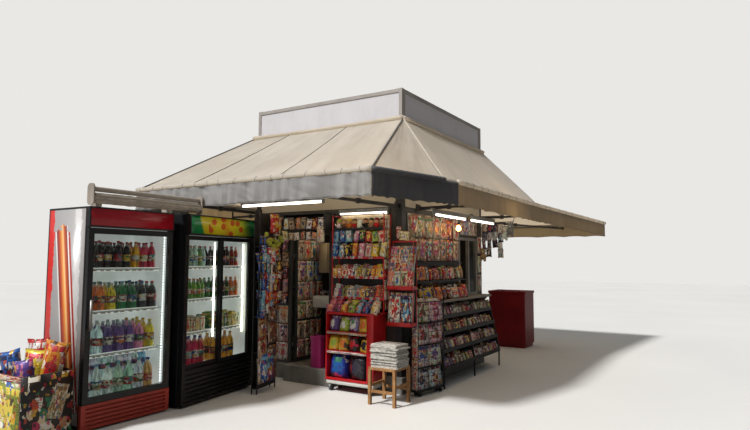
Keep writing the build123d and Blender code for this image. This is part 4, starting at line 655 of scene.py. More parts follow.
GOODS_TREE = goods_tree()
SHAPES = {
    "cover": cover_shape(), "packet": packet_shape(), "carton": carton_shape(),
    "bottle": turned_shape(((0.8, 0), (0.97, 0.015), (1, 0.05), (1, 0.2), (0.95, 0.23), (1, 0.26), (1, 0.55),
                            (0.97, 0.63), (0.8, 0.73), (0.5, 0.83), (0.33, 0.89), (0.31, 0.96))),
    "label": turned_shape(((1.0, 0.27), (1.03, 0.28), (1.03, 0.51), (1.0, 0.52))),
    "cap": turned_shape(((0.36, 0.93), (0.39, 0.935), (0.39, 0.99), (0.34, 1.0)), 10),
    "ball": turned_shape(((0.3, 0), (0.8, 0.12), (1, 0.42), (0.85, 0.75), (0.4, 1.0)), 8),
    "can": turned_shape(((0.8, 0), (1, 0.06), (1, 0.9), (0.82, 0.97), (0.84, 1.0)))}


class Goods:
    """The places of like goods, each with its turn, size, two inks and a number of its own."""

    def __init__(self, place=None):
        self.place = place or Matrix()
        self.yaw = self.place.to_euler().z
        self.spots = []

    def put(self, at, heading, size, ink, second="white", lean=0.0, tip=0.0):
        """heading is where it faces, 0 for -Y and 90 for +X; lean tips its top back."""
        turn = (-radians(lean), radians(tip), radians(heading) + self.yaw)
        jitter = [0.88 + 0.24 * dice.random() for _ in range(3)]
        inks = [min(c * j, 1.0) for c, j in zip(linear(INK.get(ink, ink))[:3], jitter)]
        self.spots.append((tuple(self.place @ Vector(at)), turn, size, inks,
                           linear(INK.get(second, second))[:3], dice.random()))

    def make(self, name, shape, finish, body="kiosk"):
        """One plain mesh of all copies."""
        mesh = bpy.data.meshes.new(name)
        mesh.from_pydata([spot[0] for spot in self.spots], [], [])
        for at, key in enumerate(("turn", "size", "ink", "second"), start=1):
            flat = [value for spot in self.spots for value in spot[at]]
            mesh.attributes.new(key, "FLOAT_VECTOR", "POINT").data.foreach_set("vector", flat)
        own = mesh.attributes.new("own", "FLOAT", "POINT")
        own.data.foreach_set("value", [spot[5] for spot in self.spots])
        made = bpy.data.objects.new(name, mesh)
        bpy.context.scene.collection.objects.link(made)
        stood = made.modifiers.new("stand", "NODES")
        stood.node_group = GOODS_TREE
        sockets = {item.name: item.identifier for item in GOODS_TREE.interface.items_tree}
        for key, value in (("Shape", SHAPES[shape]), ("Overall size", 1.0), ("Finish", finish)):
            stood[sockets[key]] = value
        bpy.context.view_layer.update()
        graph = bpy.context.evaluated_depsgraph_get()
        result = bpy.data.meshes.new_from_object(made.evaluated_get(graph), depsgraph=graph)
        made.modifiers.remove(stood)
        made.data = result
        result.name = name
        result.materials.clear()
        result.materials.append(finish)
        result.polygons.foreach_set("material_index", [0] * len(result.polygons))
        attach(made, body)


def stand(x, y, turn=0.0):
    """The place of a unit: its near foot, turned about the upright."""
    return Matrix.Translation((x, y, 0)) @ Matrix.Rotation(radians(turn), 4, "Z")


COOLER_1, COOLER_2 = stand(-0.494, -4.31), stand(-0.43, -3.23, 8.0)
MAGAZINE_RACK, WIRE_RACK = stand(1.448, -1.371, -11.9), stand(-0.234, -2.28, 13.5)

# The lines that carry the canopy cloth
RAIL_Z, HEAD_Z = 2.45, 3.345
TOP_X, TOP_Y = 1.2403, 1.3603
FRONT_LEFT, FRONT_RIGHT, FRONT_Y = -1.62, 1.813, -3.0
SIDE_X, SIDE_NEAR, SIDE_FAR = 2.136, -1.75, 1.316
HIP_X = {1: 2.0779, -1: -2.0431}
HIP_Y = -1.975
BACK_X, BACK_Y, BACK_Z = 2.5, 4.6, 2.356
VALANCE = 0.255
# Trim on the cabin stands this far out, 0.3 mm clear of its walls
WALL_X, WALL_Y = 1.2003, 1.3203


def longest(lines):
    """The length of the longest of some lines of points."""
    return max(sum((b - a).length for a, b in zip(line, line[1:])) for line in lines)


def spanned(name, top, bottom, columns, rows, off, finish, held, stands_for):
    """A sheet between two lines of points, seen from outside from left to right; off moves it along its
    normal. Where it hangs, a rolled edge runs along its foot."""
    marks = [(at, step / count) for at, count in enumerate(columns) for step in range(count)]
    marks.append((len(columns) - 1, 1.0))
    high, low = [[Vector(line[at]).lerp(Vector(line[at + 1]), share) for at, share in marks]
                 for line in (top, bottom)]
    wide = len(marks)
    hem = held == "hung"
    lay = [0.0]
    for a, b in zip(range(wide - 1), range(1, wide)):
        lay.append(lay[-1] + max((high[b] - high[a]).length, (low[b] - low[a]).length))
    points, maps = [], []
    for v in (j / rows for j in range(rows + 1)):
        row = [a.lerp(b, v) for a, b in zip(high, low)]
        for i, point in enumerate(row):
            ends = min(i + 1, wide - 1), max(i - 1, 0)
            right = row[ends[0]] - row[ends[1]]
            if right.length < 1e-6:
                right = low[ends[0]] - low[ends[1]]
            down = low[i] - high[i]
            normal = down.cross(right).normalized()
            share = lay[i] / lay[-1]
            lift = 0.016 * v * abs(sin(9 * pi * share + 2 * sin(7 * share))) if hem else 0.0
            points.append(point + normal * off(share, v) + Vector((0, 0, lift)))
            maps.append((lay[i], -v * down.length))
    build = Build()
    faces = [face[:1] + face[:0:-1] for face in quads(wide - 1, rows)]
    build.add(points, faces, [[maps[i] for i in face] for face in faces])
    made = build.mesh(name, finish)
    area = weld(made.data, 0.0005)
    skin = made.modifiers.new("skin", "SOLIDIFY")
    skin.thickness = 0.003
    skin.offset = 0
    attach(made, "kiosk")
    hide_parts(stands_for)
    across = longest(points[j * wide:(j + 1) * wide] for j in range(rows + 1))
    down = longest(points[i::wide] for i in range(wide))
    if hem:
        edge = Build()
        edge.tube(points[-wide:], 0.0035, 5)
        edge.piece(name + "_hem", finish)


def taut(sag, ripple, seed):
    """How a stretched cloth lies: a shallow belly, pinned at its edges, with soft pull lines."""
    def off(u, v):
        pin = min(1.0, 14 * u * (1 - u)) * min(1.0, 8 * v * (1 - v))
        pull = noise.noise(Vector((u * 5 + v * 2, v * 1.3, seed)))
        pull += 0.5 * noise.noise(Vector((u * 17, v * 3, seed)))
        return -sag * sin(pi * u) * sin(pi * v) + ripple * pin * pull
    return off


def gathered(depth, folds, seed):
    """How a hanging strip lies: folds that open towards its foot, and creases aslant from its ties."""
    def off(u, v):
        wander = u * folds + 1.6 * noise.noise(Vector((u * 6, 0.0, seed)))
        fold = sin(2 * pi * wander) + 0.6 * noise.noise(Vector((u * 30, v, seed)))
        crease = abs(noise.noise(Vector((u * 30 - 5 * v, v * 2, seed + 9))))
        return depth * (v ** 0.8 * fold - 0.7 * min(1.0, 5 * v) * crease)
    return off


def canopy():
    """The sloping cloths, pulled tight from the head tube to the rails, with seams, sleeves and ties."""
    sides = (-1, 1)
    top = {side: (side * TOP_X, -TOP_Y, HEAD_Z) for side in sides}
    foot = {-1: (FRONT_LEFT, FRONT_Y, RAIL_Z), 1: (FRONT_RIGHT, FRONT_Y, RAIL_Z)}
    hip = {side: (HIP_X[side], HIP_Y, RAIL_Z) for side in sides}
    far = {side: (side * TOP_X, SIDE_FAR, HEAD_Z) for side in sides}
    low = {side: (side * SIDE_X, SIDE_NEAR, RAIL_Z) for side in sides}
    end = {side: (side * SIDE_X, SIDE_FAR, RAIL_Z) for side in sides}
    inner = {side: (side * 1.203, 1.3263, 2.617) for side in sides}
    back = {side: (side * BACK_X, BACK_Y, BACK_Z) for side in sides}
    # Name, what it stands for, upper and lower line, columns, rows, sag and ripple
    cloths = (
        ("front_cloth", "canopy_front", (top[-1], top[1]), (foot[-1], foot[1]), [56], 32, 0.018, 0.006),
        ("corner_right", "canopy_corners", (top[1], top[1]), (foot[1], hip[1]), [20], 30, 0.012, 0.005),
        ("corner_left", "canopy_corners", (top[-1], top[-1]), (hip[-1], foot[-1]), [16], 30, 0.012, 0.005),
        ("side_right", "canopy_sides", (top[1], top[1], far[1]), (hip[1], low[1], end[1]), [4, 44], 28,
         0.016, 0.005),
        ("side_left", "canopy_sides", (far[-1], top[-1], top[-1]), (end[-1], low[-1], hip[-1]), [44, 4], 28,
         0.016, 0.005),
        ("back_cloth", "canopy_back", (end[1], inner[1], inner[-1], end[-1]),
         (back[1], back[1], back[-1], back[-1]), [10, 44, 10], 40, 0.03, 0.008))
    for seed, (name, node, upper, lower, columns, rows, sag, ripple) in enumerate(cloths, start=1):
        spanned("canopy_" + name, upper, lower, columns, rows, taut(sag, ripple, float(seed)), CREAM_CANVAS,
                "stretched", node)
    seams = Build()
    for side in sides:
        for foot_end, radius, slot in ((foot[side], 0.008, 1), (hip[side], 0.013, 0)):
            seams.tube([Vector(top[side]).lerp(Vector(foot_end), t / 16) + Vector((0, -0.002, 0.007))
                        for t in range(17)], radius, 8, slot)
    for share in (0.27, 0.66):
        start, finish = [Vector(line[-1]).lerp(Vector(line[1]), share) for line in (top, foot)]
        sags = (0.019 * sin(pi * share) * sin(pi * t / 16) - 0.004 for t in range(17))
        path = [start.lerp(finish, t / 16) - Vector((0, 0, sag)) for t, sag in enumerate(sags)]
        seams.tube(path, 0.004, 6, slot=2)
    seams.piece("canopy_seams", CREAM_CANVAS, DARK_CANVAS, SEAM_TAPE)
    sleeves = Build()
    path = []
    for share in (step / 60 for step in range(61)):
        drop = 0.008 * sin(pi * share) + 0.004 * noise.noise(Vector((share * 14, 0, 3)))
        path.append((-TOP_X + 2 * TOP_X * share, -TOP_Y - 0.014, HEAD_Z + 0.024 - drop))
    sleeves.tube(path, 0.024, 12, taper=lambda share: 1 + 0.2 * noise.noise(Vector((share * 30, 0, 5))))
    for side in sides:
        path = [(side * (TOP_X + 0.006), -TOP_Y + (SIDE_FAR + TOP_Y) * t / 40, HEAD_Z + 0.02
                 - 0.008 * sin(pi * t / 40)) for t in range(41)]
        sleeves.tube(path, 0.022, 12, taper=lambda share: 1 + 0.2 * noise.noise(Vector((share * 30, 1, 7))))
    sleeves.piece("head_sleeves", CREAM_CANVAS)
    wraps, clips = Build(), Build()
    runs = ((foot[-1], foot[1], 15), (foot[1], hip[1], 4), (low[1], end[1], 12), (hip[-1], foot[-1], 4),
            (end[-1], low[-1], 12), (back[1], back[-1], 16), (end[1], back[1], 10), (back[-1], end[-1], 10))
    for start, finish, count in runs:
        start, finish = Vector(start), Vector(finish)
        along = (finish - start).normalized()
        out = Vector((along.y, -along.x, 0)).normalized()
        path = [start.lerp(finish, t / (4 * count))
                + Vector((0, 0, 0.004 + 0.003 * noise.noise(Vector((t, count, 0)))))
                for t in range(4 * count + 1)]
        wraps.tube(path, 0.03, 12, 1 if count == 4 else 0,
                   lambda share: 1 + 0.1 * noise.noise(Vector((share * 3 * count, count, 2))))
        for at in range(count):
            centre = start.lerp(finish, (at + between(0.2, 0.8)) / count)
            skew = along * jog(0.02)
            clips.tube([centre + out * (0.031 * cos(a)) + Vector((0, 0, 0.004 + 0.031 * sin(a)))
                        + skew * sin(a) for a in (2 * pi * t / 10 for t in range(11))], 0.002, 5)
    wraps.piece("rail_wraps", CREAM_CANVAS, DARK_CANVAS)
    clips.piece("rail_ties", SEAM_TAPE)


def valances():
    """The hanging strips below the rails: name, what it stands for, cloth, depth and number of folds, and
    the line it hangs from."""
    out, z = 0.004, RAIL_Z - 0.002
    side = SIDE_X + out
    near, end = {}, {}
    for way, front in ((1, FRONT_RIGHT), (-1, FRONT_LEFT)):
        near[way] = [(front + way * out, FRONT_Y, z), (HIP_X[way] + way * out, HIP_Y, z),
                     (way * side, SIDE_NEAR, z)]
        end[way] = (way * side, SIDE_FAR, z)
    for name, node, finish, depth, folds, top in (
            ("front", "valances", GREY_CANVAS, 0.026, 20, [(x, FRONT_Y - 0.015, z)
                                                           for x in (FRONT_LEFT, FRONT_RIGHT)]),
            ("corner_right", "valance_corners", DARK_CANVAS, 0.006, 3, near[1]),
            ("side_right", "valances", TAN_CANVAS, 0.01, 9, [near[1][2], end[1]]),
            ("wing_right", "valances", TAN_CANVAS, 0.01, 6, [end[1], (BACK_X, BACK_Y, BACK_Z)]),
            ("back", "valances", TAN_CANVAS, 0.014, 14, [(x, BACK_Y + out, BACK_Z)
                                                         for x in (BACK_X, -BACK_X)]),
            ("wing_left", "valances", TAN_CANVAS, 0.01, 6, [(-BACK_X, BACK_Y, BACK_Z), end[-1]]),
            ("side_left", "valances", TAN_CANVAS, 0.01, 9, [end[-1], near[-1][2]]),
            ("corner_left", "valance_corners", DARK_CANVAS, 0.006, 3, near[-1][::-1])):
        spanned("valance_" + name, top, [(x, y, z - VALANCE) for x, y, z in top],
                [120] if len(top) == 2 else [26, 26], 12, gathered(depth, folds, len(name)), finish, "hung",
                node)


class Drinks:
    """Bottles as three pieces: the bottle, its label and its cap."""

    def __init__(self, place):
        self.bottles, self.labels, self.caps = Goods(place), Goods(place), Goods(place)

    def row(self, xs, y0, y1, z, radius, height, kinds):
        """Bottles across the shelf from y0 to y1, repeated at each depth in xs. Each kind names the inks of
        the drink, the label, its picture and the cap."""
        kinds = [kind.split() for kind in kinds.split(",")]
        for x in xs:
            for at, (drink, label, second, cap) in enumerate(kinds):
                y = y0 + (y1 - y0) * (at + 0.5) / len(kinds) + jog(0.006)
                tall = height * between(0.97, 1.03)
                wide = radius * between(0.96, 1.03)
                turn = between(0, 360)
                spot, size = (x + jog(0.008), y, z), (wide, wide, tall)
                self.bottles.put(spot, turn, size, drink)
                self.labels.put(spot, turn, size, label, second)
                self.caps.put(spot, turn, size, cap)

    def make(self, name):
        """The three pieces of all rows."""
        self.bottles.make(name + "_bottles", "bottle", DRINK)
        self.labels.make(name + "_labels", "label", LABEL_PRINT)
        self.caps.make(name + "_caps", "cap", CAP)


def cooler_1_drinks():
    """Bottles in the first cooler, from the top shelf down; the last row stands on the small ones."""
    drinks = Drinks(COOLER_1)
    deep, small = (-0.155, -0.26, -0.365), (-0.27, -0.36, -0.45)
    for xs, far, z, radius, height, kinds in (
            (deep, 0.86, 1.5085, 0.04, 0.27,
             "clear orange white red, cola red white red, cola orange yellow red, cola red teal red, "
             "cola yellow green red, amber yellow white orange, rose yellow white red, rose teal white red"),
            (deep, 0.89, 1.096, 0.046, 0.275,
             "#C8651B teal red grey, #C8651B teal red teal, #C9B21C orange white white, "
             "bottle teal white sky, bottle purple teal navy, black white orange blue, cola red white red"),
            (deep, 0.87, 0.6835, 0.047, 0.295,
             "clear blue orange teal, clear navy orange white, plum white navy clear, "
             "plum orange purple clear, plum purple white white, pink purple green yellow, "
             "#C9B21C wine yellow yellow"),
            ((-0.15,), 0.87, 0.2555, 0.05, 0.325,
             "clear pink blue sky, clear blue white sky, clear white red green, #A9C9AE green white sky, "
             "#A9C9B4 teal red clear, clear orange white sky, #C9A75A orange red blue"),
            (small, 0.87, 0.2555, 0.04, 0.2, "clear white blue blue, " * 8 + "clear white blue blue"),
            (small, 0.87, 0.456, 0.04, 0.2,
             "clear sky blue blue, clear pink purple blue, " * 4 + "sky blue sky blue")):
        drinks.row(xs, 0.055, far, z, radius, height, kinds)
    drinks.make("cooler_1")


def cooler_2_drinks():
    """Bottles in the second cooler, and cartons between them."""
    drinks = Drinks(COOLER_2)
    deep, low = (-0.19, -0.26, -0.33, -0.4), (-0.19, -0.28, -0.37)
    for xs, near, far, z, radius, height, kinds in (
            (deep, 0.06, 0.54, 1.519, 0.031, 0.245,
             "#B9CCC0 white sky white, #AFC4B4 white teal yellow, #B9CCC0 white sky white, "
             "#8FA98A white green orange, #B9CCC0 white sky white, #5E7C3C lime white orange, "
             "#B9CCC0 white sky white"),
            (deep, 0.67, 1.16, 1.519, 0.031, 0.245,
             "cola white navy red, cola wine yellow red, cola cream red red, cola wine yellow red, "
             "#8A2A1C navy yellow red, #A9391E navy white orange"),
            (deep, 0.06, 0.54, 1.1495, 0.032, 0.225,
             "#3A2A1A white red orange, #2F5A1E cream red yellow, #2F5A1E cream red yellow, "
             "#4B7A22 cream wine orange, #5A8A25 lime white orange, #4B7A22 yellow white orange, "
             "#66912C cream white yellow"),
            (deep, 0.67, 1.16, 1.1495, 0.033, 0.235,
             "#2F5A1E teal white green, #1E2430 yellow orange navy, #14161C sky navy white, "
             "#2F3A1E lime white yellow, #B5562A orange cream orange, #C46A2A cream orange orange"),
            (low, 0.06, 0.54, 0.3955, 0.046, 0.33,
             "rose white sky blue, #A3303C white navy blue, rose cream sky blue, rose white blue blue, "
             "#A3303C cream teal blue"),
            (low, 0.67, 1.1, 0.3955, 0.046, 0.32,
             "#C98A2C navy orange yellow, #D39A35 navy purple yellow, #C98A2C blue cream orange, "
             "#D39A35 navy yellow yellow")):
        drinks.row(xs, near, far, z, radius, height, kinds)
    drinks.make("cooler_2")
    boxes = Goods(COOLER_2)
    for x in (-0.17, -0.26, -0.35):
        for at in range(6):
            boxes.put((x, 0.095 + at * 0.083, 0.7805), 90, (0.075, 0.075, between(0.14, 0.17)), "cream",
                      pick("red tan yellow pink"))
        for at, ink in enumerate("green wine lime green lime yellow cream".split()):
            boxes.put((x, 0.71 + at * 0.075, 0.7805), 90, (0.066, 0.066, between(0.13, 0.19)), ink,
                      pick("yellow white green"))
    boxes.make("cooler_2_cartons", "carton", BOX_PRINT)


def cooler_fittings():
    """Liners, light strips, price rails and their tags in both coolers."""
    wall, skin, gap = 0.045, 0.004, 0.0006
    for number, place, width, rear, front, low, high, shelves in (
            (1, COOLER_1, 0.975, -0.645, -0.055, 0.255, 1.905, (0.6675, 1.08, 1.4925)),
            (2, COOLER_2, 1.262, -0.61, -0.074, 0.395, 1.872, (0.76425, 1.1335, 1.50275))):
        name = "cooler_%d_" % number
        near, far = wall + gap, width - wall - gap
        liner = Build(place)
        liner.boxes((rear + gap, rear + gap + skin, near, far, low + gap, high - gap),
                    (rear, front - 0.01, near, near + skin, low + gap, high - gap),
                    (rear, front - 0.01, far - skin, far, low + gap, high - gap),
                    (rear, front - 0.01, near, far, low + gap * 0.5, low + skin), edge=0.001)
        liner.box(front - 0.05, front - 0.012, near + skin, far - skin, high - 0.05, high - gap, 0.006,
                  slot=1)
        liner.piece(name + "liner", LINER_LIT, LINER_GLOW)
        rails, tags = Build(place), Goods(place)
        for z in shelves:
            rails.boxes((front - 0.052, front - 0.045, near + 0.01, far - 0.06, z - 0.016, z + 0.024))
            y = near + 0.03
            while y < far - 0.12:
                wide = between(0.03, 0.06)
                tags.put((front - 0.0435, y, z - 0.01), 90, (wide, 0.001, 0.026), "white", pick("black red"))
                y += wide + between(0.005, 0.05)
        rails.piece(name + "price_rails", RAIL_LIT)
        tags.make(name + "price_tags", "cover", LABEL_PRINT)
        strips = Build(place)
        if number == 1:
            strips.boxes(*((front - 0.022, front - 0.012, far - 0.03, far - 0.018, z, z + 0.018)
                           for z in (low + 0.06 + 0.029 * at for at in range(54))))
        else:
            for y in (width / 2 - 0.02, far - 0.05):
                strips.tube([(front - 0.03, y, low + 0.3), (front - 0.03, y, high - 0.07)], 0.009)
        strips.piece(name + "light_strips", STRIP_LIT if number == 1 else TUBE_LIT)


def cooler_sheets():
    """The sleeve on the first cooler's handle, the header sheets of both, the first one's side sheet."""
    sleeve = Build(COOLER_1)
    sleeve.tube([(0.038, 0.0275, 0.934), (0.038, 0.0275, 1.218)], 0.0125, 12)
    sleeve.piece("door_grip", ALUMINIUM, body="cooler_1_door")
    red = Build(COOLER_1)
    red.box(-0.0055, -0.002, 0.0155, 0.9595, 1.9205, 2.0845, 0.001)
    red.piece("cooler_1_header_sheet", HEADER_RED)
    green = Build(COOLER_2)
    # The mapped face in fields, then its back, ends, foot and top; back is where its back points start
    fields, near, wide, low, tall = 24, 0.0155, 1.231, 1.8875, 0.197
    row = fields + 1
    back = 2 * row
    points = [(0.058, near + wide * i / fields, low + tall * j) for j in (0, 1) for i in range(row)]
    points += [(0.0565, y, z) for _, y, z in points]
    others = [[back + i, back + row + i, back + row + i + 1, back + i + 1] for i in range(fields)]
    others += [[0, row, back + row, back], [fields, back + fields, back + row + fields, row + fields]]
    others += [[i, back + i, back + i + 1, i + 1] for i in range(fields)]
    others += [[row + i, row + i + 1, back + row + i + 1, back + row + i] for i in range(fields)]
    shares = [i / fields for i in range(row)]
    cuts = [[(a, 0), (b, 0), (b, 1), (a, 1)] for a, b in zip(shares, shares[1:])]
    green.add(points, quads(fields, 1) + others, cuts + [[(0, 0)] * 4] * len(others))
    green.piece("cooler_2_header_sheet", HEADER_GREEN)
    grey = Build(COOLER_1)
    points = [(-0.066 - 0.604 * i, y, 0.06 + 2.02 * j) for y in (-0.0012, -0.0002) for j in (0, 1)
              for i in (0, 1)]
    faces = [[1, 0, 2, 3], [4, 5, 7, 6], [0, 1, 5, 4], [3, 2, 6, 7], [1, 3, 7, 5], [2, 0, 4, 6]]
    grey.add(points, faces, [[(0, 0), (1, 0), (1, 1), (0, 1)]] + [[(0.5, 0.5)] * 4] * 5)
    grey.piece("cooler_1_side_sheet", SIDE_POSTER)


def wire_rack_goods():
    """The rack beside the second cooler: bags above, covers below, a garland of toys at its head."""
    covers = Goods(WIRE_RACK)
    for z, tall, y, ink, second in ((0.42, 0.26, 0.115, "#B59F7C", "wine"),
                                    (0.68, 0.24, 0.115, "#9C8664", "wine"),
                                    (0.3, 0.24, 0.36, "#7E6A4E", "brown"),
                                    (0.57, 0.27, 0.36, "#6E5A42", "brown"),
                                    (0.85, 0.2, 0.36, "#5E4C38", "brown"),
                                    (0.13, 0.16, 0.36, "#7E6A4E", "wine")):
        covers.put((0.012, y, z), 90, (0.215, 0.01, tall), ink, second, lean=3)
    covers.put((0.05, 0.17, 0.13), 78, (0.25, 0.02, 0.33), "blue", "sky", lean=4)
    for at in range(4):
        covers.put((0.02 - 0.01 * at, 0.1 + 0.01 * at, 0.12), 90, (0.2, 0.008, 0.3), "cream", "tan", lean=3)
    covers.make("wire_rack_covers", "cover", COVER_PRINT)
    bags = Goods(WIRE_RACK)
    bags.put((0.06, 0.26, 1.93), 88, (0.25, 0.06, 0.25), "red", "yellow")
    bags.put((0.03, 0.4, 1.9), 95, (0.16, 0.05, 0.24), "cream", "yellow", tip=6)
    for column, inks in enumerate(("blue navy blue sky", "sky white blue red sky navy",
                                   "white wine tan orange brown", "orange brown wine orange yellow",
                                   "brown tan wine white")):
        z = 0.9 + 0.05 * column
        while z < 1.84 - 0.05 * column:
            tall = between(0.11, 0.17)
            for depth in range(2):
                bags.put((0.045 - 0.05 * depth, 0.045 + 0.092 * column + jog(0.015), z), 90 + jog(30),
                         (0.12, 0.035, tall), pick(inks), pick("white yellow red sky"), tip=jog(12))
            z += tall * 0.82
    bags.make("wire_rack_bags", "packet", FILM_PRINT)
    toys = Build(WIRE_RACK)
    for at in range(11):
        share = at / 10
        centre = (0.06, 0.05 + 0.4 * share, 1.87 - 0.08 * sin(pi * share) + 0.04 * cos(at * 2.1))
        place = Matrix.Translation(centre)
        place @= Matrix.Rotation(at * 1.1, 4, "X") @ Matrix.Rotation(at * 0.7, 4, "Y")
        toys.lathe([(0.006, -0.03), (0.022, -0.022), (0.03, 0.0), (0.024, 0.02), (0.01, 0.03)], 10, place)
    toys.piece("wire_rack_garland", GARLAND)


def cover_goods():
    """Covers in the magazine rack, on the door leaf, in the corner rack and on the wall; newspapers."""
    covers = Goods(MAGAZINE_RACK)
    for tier in range(4):
        for y in (0.12875, 0.38625):
            for depth in range(3):
                covers.put((-0.026 - depth * 0.02, y + jog(0.01), 0.072 + tier * 0.2625 + depth * 0.012),
                           90 + jog(2), (0.244625, 0.012, 0.2625 * between(0.92, 1.0)),
                           pick("cream white #E2D8C2 #D9C3C4 #C4D3DA"), pick(COVERS), lean=7)
    for tier in range(8):
        covers.put((-0.045, -0.006, 0.085 + tier * 0.125), 0, (0.085, 0.008, 0.118), pick(PALE), pick(COVERS))
    covers.make("magazine_rack_covers", "cover", COVER_PRINT)

    leaf = Goods()
    for row, (z, tall) in enumerate(((0.27, 0.24), (0.52, 0.24), (0.79, 0.25), (1.05, 0.25), (1.31, 0.28),
                                     (1.6, 0.28))):
        columns = 4 if row % 2 else 3
        wide = 0.57 / columns
        for column in range(columns):
            leaf.put((-0.4872, -1.235 + wide * (column + 0.5), z), 90, (wide * 0.97, 0.004, tall), pick(PALE),
                     pick(COVERS), tip=jog(1))
    leaf.make("door_covers", "cover", COVER_PRINT, "cabin_door")

    rack = Goods()
    y = -1.505
    for x, ink, second in ((1.185, "white", "red"), (1.345, "navy", "sky")):
        rack.put((x, y + 0.01, 0.845), 0, (0.155, 0.02, 0.33), ink, second, lean=5)
        rack.put((x, y + 0.05, 0.86), 0, (0.155, 0.02, 0.36), "cream", "blue", lean=5)
    for row in range(4):
        for column in range(4):
            rack.put((1.15 + 0.085 * column + jog(0.01), y + 0.02 * row, 1.275 + 0.1 * row), 0,
                     (0.085, 0.015, 0.2), pick(PALE + " red wine blue brown teal"), pick(COVERS), lean=6,
                     tip=jog(4))
    rack.make("corner_rack_covers", "cover", COVER_PRINT)

    wall = Goods()
    for column in range(7):
        for row in range(4):
            wall.put((1.222 - 0.01 * (row % 2), -1.06 + 0.222 * column + jog(0.015),
                      1.6 + 0.3 * (row // 2) + 0.02 * (row % 2)), 90 + jog(5), (0.21, 0.006, 0.28),
                     pick("tan #B9A78C #BFAE90 #A08A6C #9A7A5A wine"), pick(COVERS), tip=jog(4))
    for at in range(4):
        wall.put((1.21, 0.53 + 0.16 * at, 1.99), 90, (0.15, 0.006, between(0.2, 0.26)), pick(PALE),
                 pick(COVERS), tip=jog(3))
    wall.put((1.16, -1.327, 1.86), 0, (0.07, 0.004, 0.16), "red", "white")
    wall.put((1.27, -1.4, 1.845), 8, (0.13, 0.004, 0.11), "#D9C98A", "white", tip=5)
    for row in range(3):
        wall.put((1.206, 1.22, 1.12 + 0.3 * row), 90, (0.16, 0.006, 0.26), pick(PALE), pick(COVERS))
    wall.make("serving_wall_covers", "cover", COVER_PRINT)

    papers = Goods()
    z = 0.4105
    while z < 0.66:
        tall = between(0.012, 0.018)
        papers.put((1.3 + jog(0.014), -1.91 + jog(0.014), z), jog(5), (0.34, 0.27, tall * 0.9), "white",
                   "grey")
        z += tall
    papers.make("newspapers", "carton", NEWSPRINT)


def ranks(goods, x0, y, z, pitch, deep, size, lean, inks, rise=0.02):
    """Rows of goods on a shelf that faces -Y, repeated at each depth and a little higher. The inks run from
    left to right, each with its own second after a slash or a drawn one."""
    wide, thick, tall = size
    for depth in range(deep):
        for at, words in enumerate(inks.split()):
            ink, _, second = words.partition("/")
            second = second or pick("white red yellow navy orange")
            goods.put((x0 + pitch * at + jog(0.005), y + 0.055 * depth, z + rise * depth), jog(22),
                      (wide, thick, tall * between(0.8, 1.05)), ink, second, lean=lean, tip=jog(9))


def red_unit_goods():
    """The red shelf unit with its small hanging packs, and the cart."""
    bags, sacks, boxes, tags = Goods(), Goods(), Goods(), Goods()
    front = -1.478
    ranks(bags, 0.318, front, 1.83, 0.1, 2, (0.108, 0.035, 0.165), 4,
          "sky/blue blue/sky sky/white pink/white black/lime red/yellow lime/green cream/red")
    ranks(bags, 0.318, front - 0.012, 1.645, 0.1, 2, (0.108, 0.035, 0.18), 4,
          "blue/sky sky/white black/yellow orange/yellow pink/white cream/magenta yellow/white cream/yellow")
    for z, inks in ((1.4, "yellow orange cream red white yellow grey navy orange yellow #D8C95A"),
                    (1.145, "white blue lime white sky grey yellow navy brown red brown")):
        ranks(boxes, 0.312, front + 0.004, z, 0.07, 2, (0.066, 0.045, 0.11), 6, inks, 0.045)
    ranks(bags, 0.335, -1.605, 0.952, 0.105, 3, (0.12, 0.06, 0.13), 20,
          "pink magenta orange lime sky blue cream", 0.035)
    for z, inks in ((0.7205, ("purple white", "lime white", "#8C7BB5 white", "yellow orange")),
                    (0.4855, ("yellow lime", "yellow orange", "black red", "yellow black"))):
        for depth in range(2):
            for at, pair in enumerate(inks):
                sacks.put((0.392 + 0.15 * at, -1.59 + 0.11 * depth, z + 0.012 * depth), jog(14),
                          (0.185, 0.13, between(0.195, 0.215)), *pair.split(), lean=14, tip=jog(7))
    for x, y, ink, second in ((0.46, -1.57, "#26358A", "blue"), (0.6, -1.47, "brown", "wine"),
                              (0.75, -1.57, "black", "#3A3640")):
        sacks.put((x, y, 0.157), jog(12), (0.31, 0.17, 0.32), ink, second, lean=8)
    for column in range(2):
        for row in range(9):
            bags.put((1.056, -1.455 + 0.065 * column, 1.0 + 0.125 * row), 90 + jog(12), (0.06, 0.012, 0.115),
                     pick("cream white red yellow tan"), pick("red yellow navy"), tip=jog(4))
    bags.make("red_unit_packets", "packet", FILM_PRINT)
    sacks.make("cart_bags", "packet", SACK_PRINT)
    boxes.make("red_unit_boxes", "carton", BOX_PRINT)
    for z in (1.135, 1.39, 1.635):
        x = 0.32
        while x < 1.0:
            wide = between(0.03, 0.07)
            tags.put((x, -1.4935, z - 0.012), 0, (wide, 0.001, 0.03), "white", pick("grey black"))
            x += wide + between(0.02, 0.1)
    for z in (0.462, 0.697):
        tags.put((0.61, -1.6435, z), 0, (0.58, 0.001, 0.028), "white", "grey")
    tags.make("red_unit_price_tags", "cover", LABEL_PRINT)


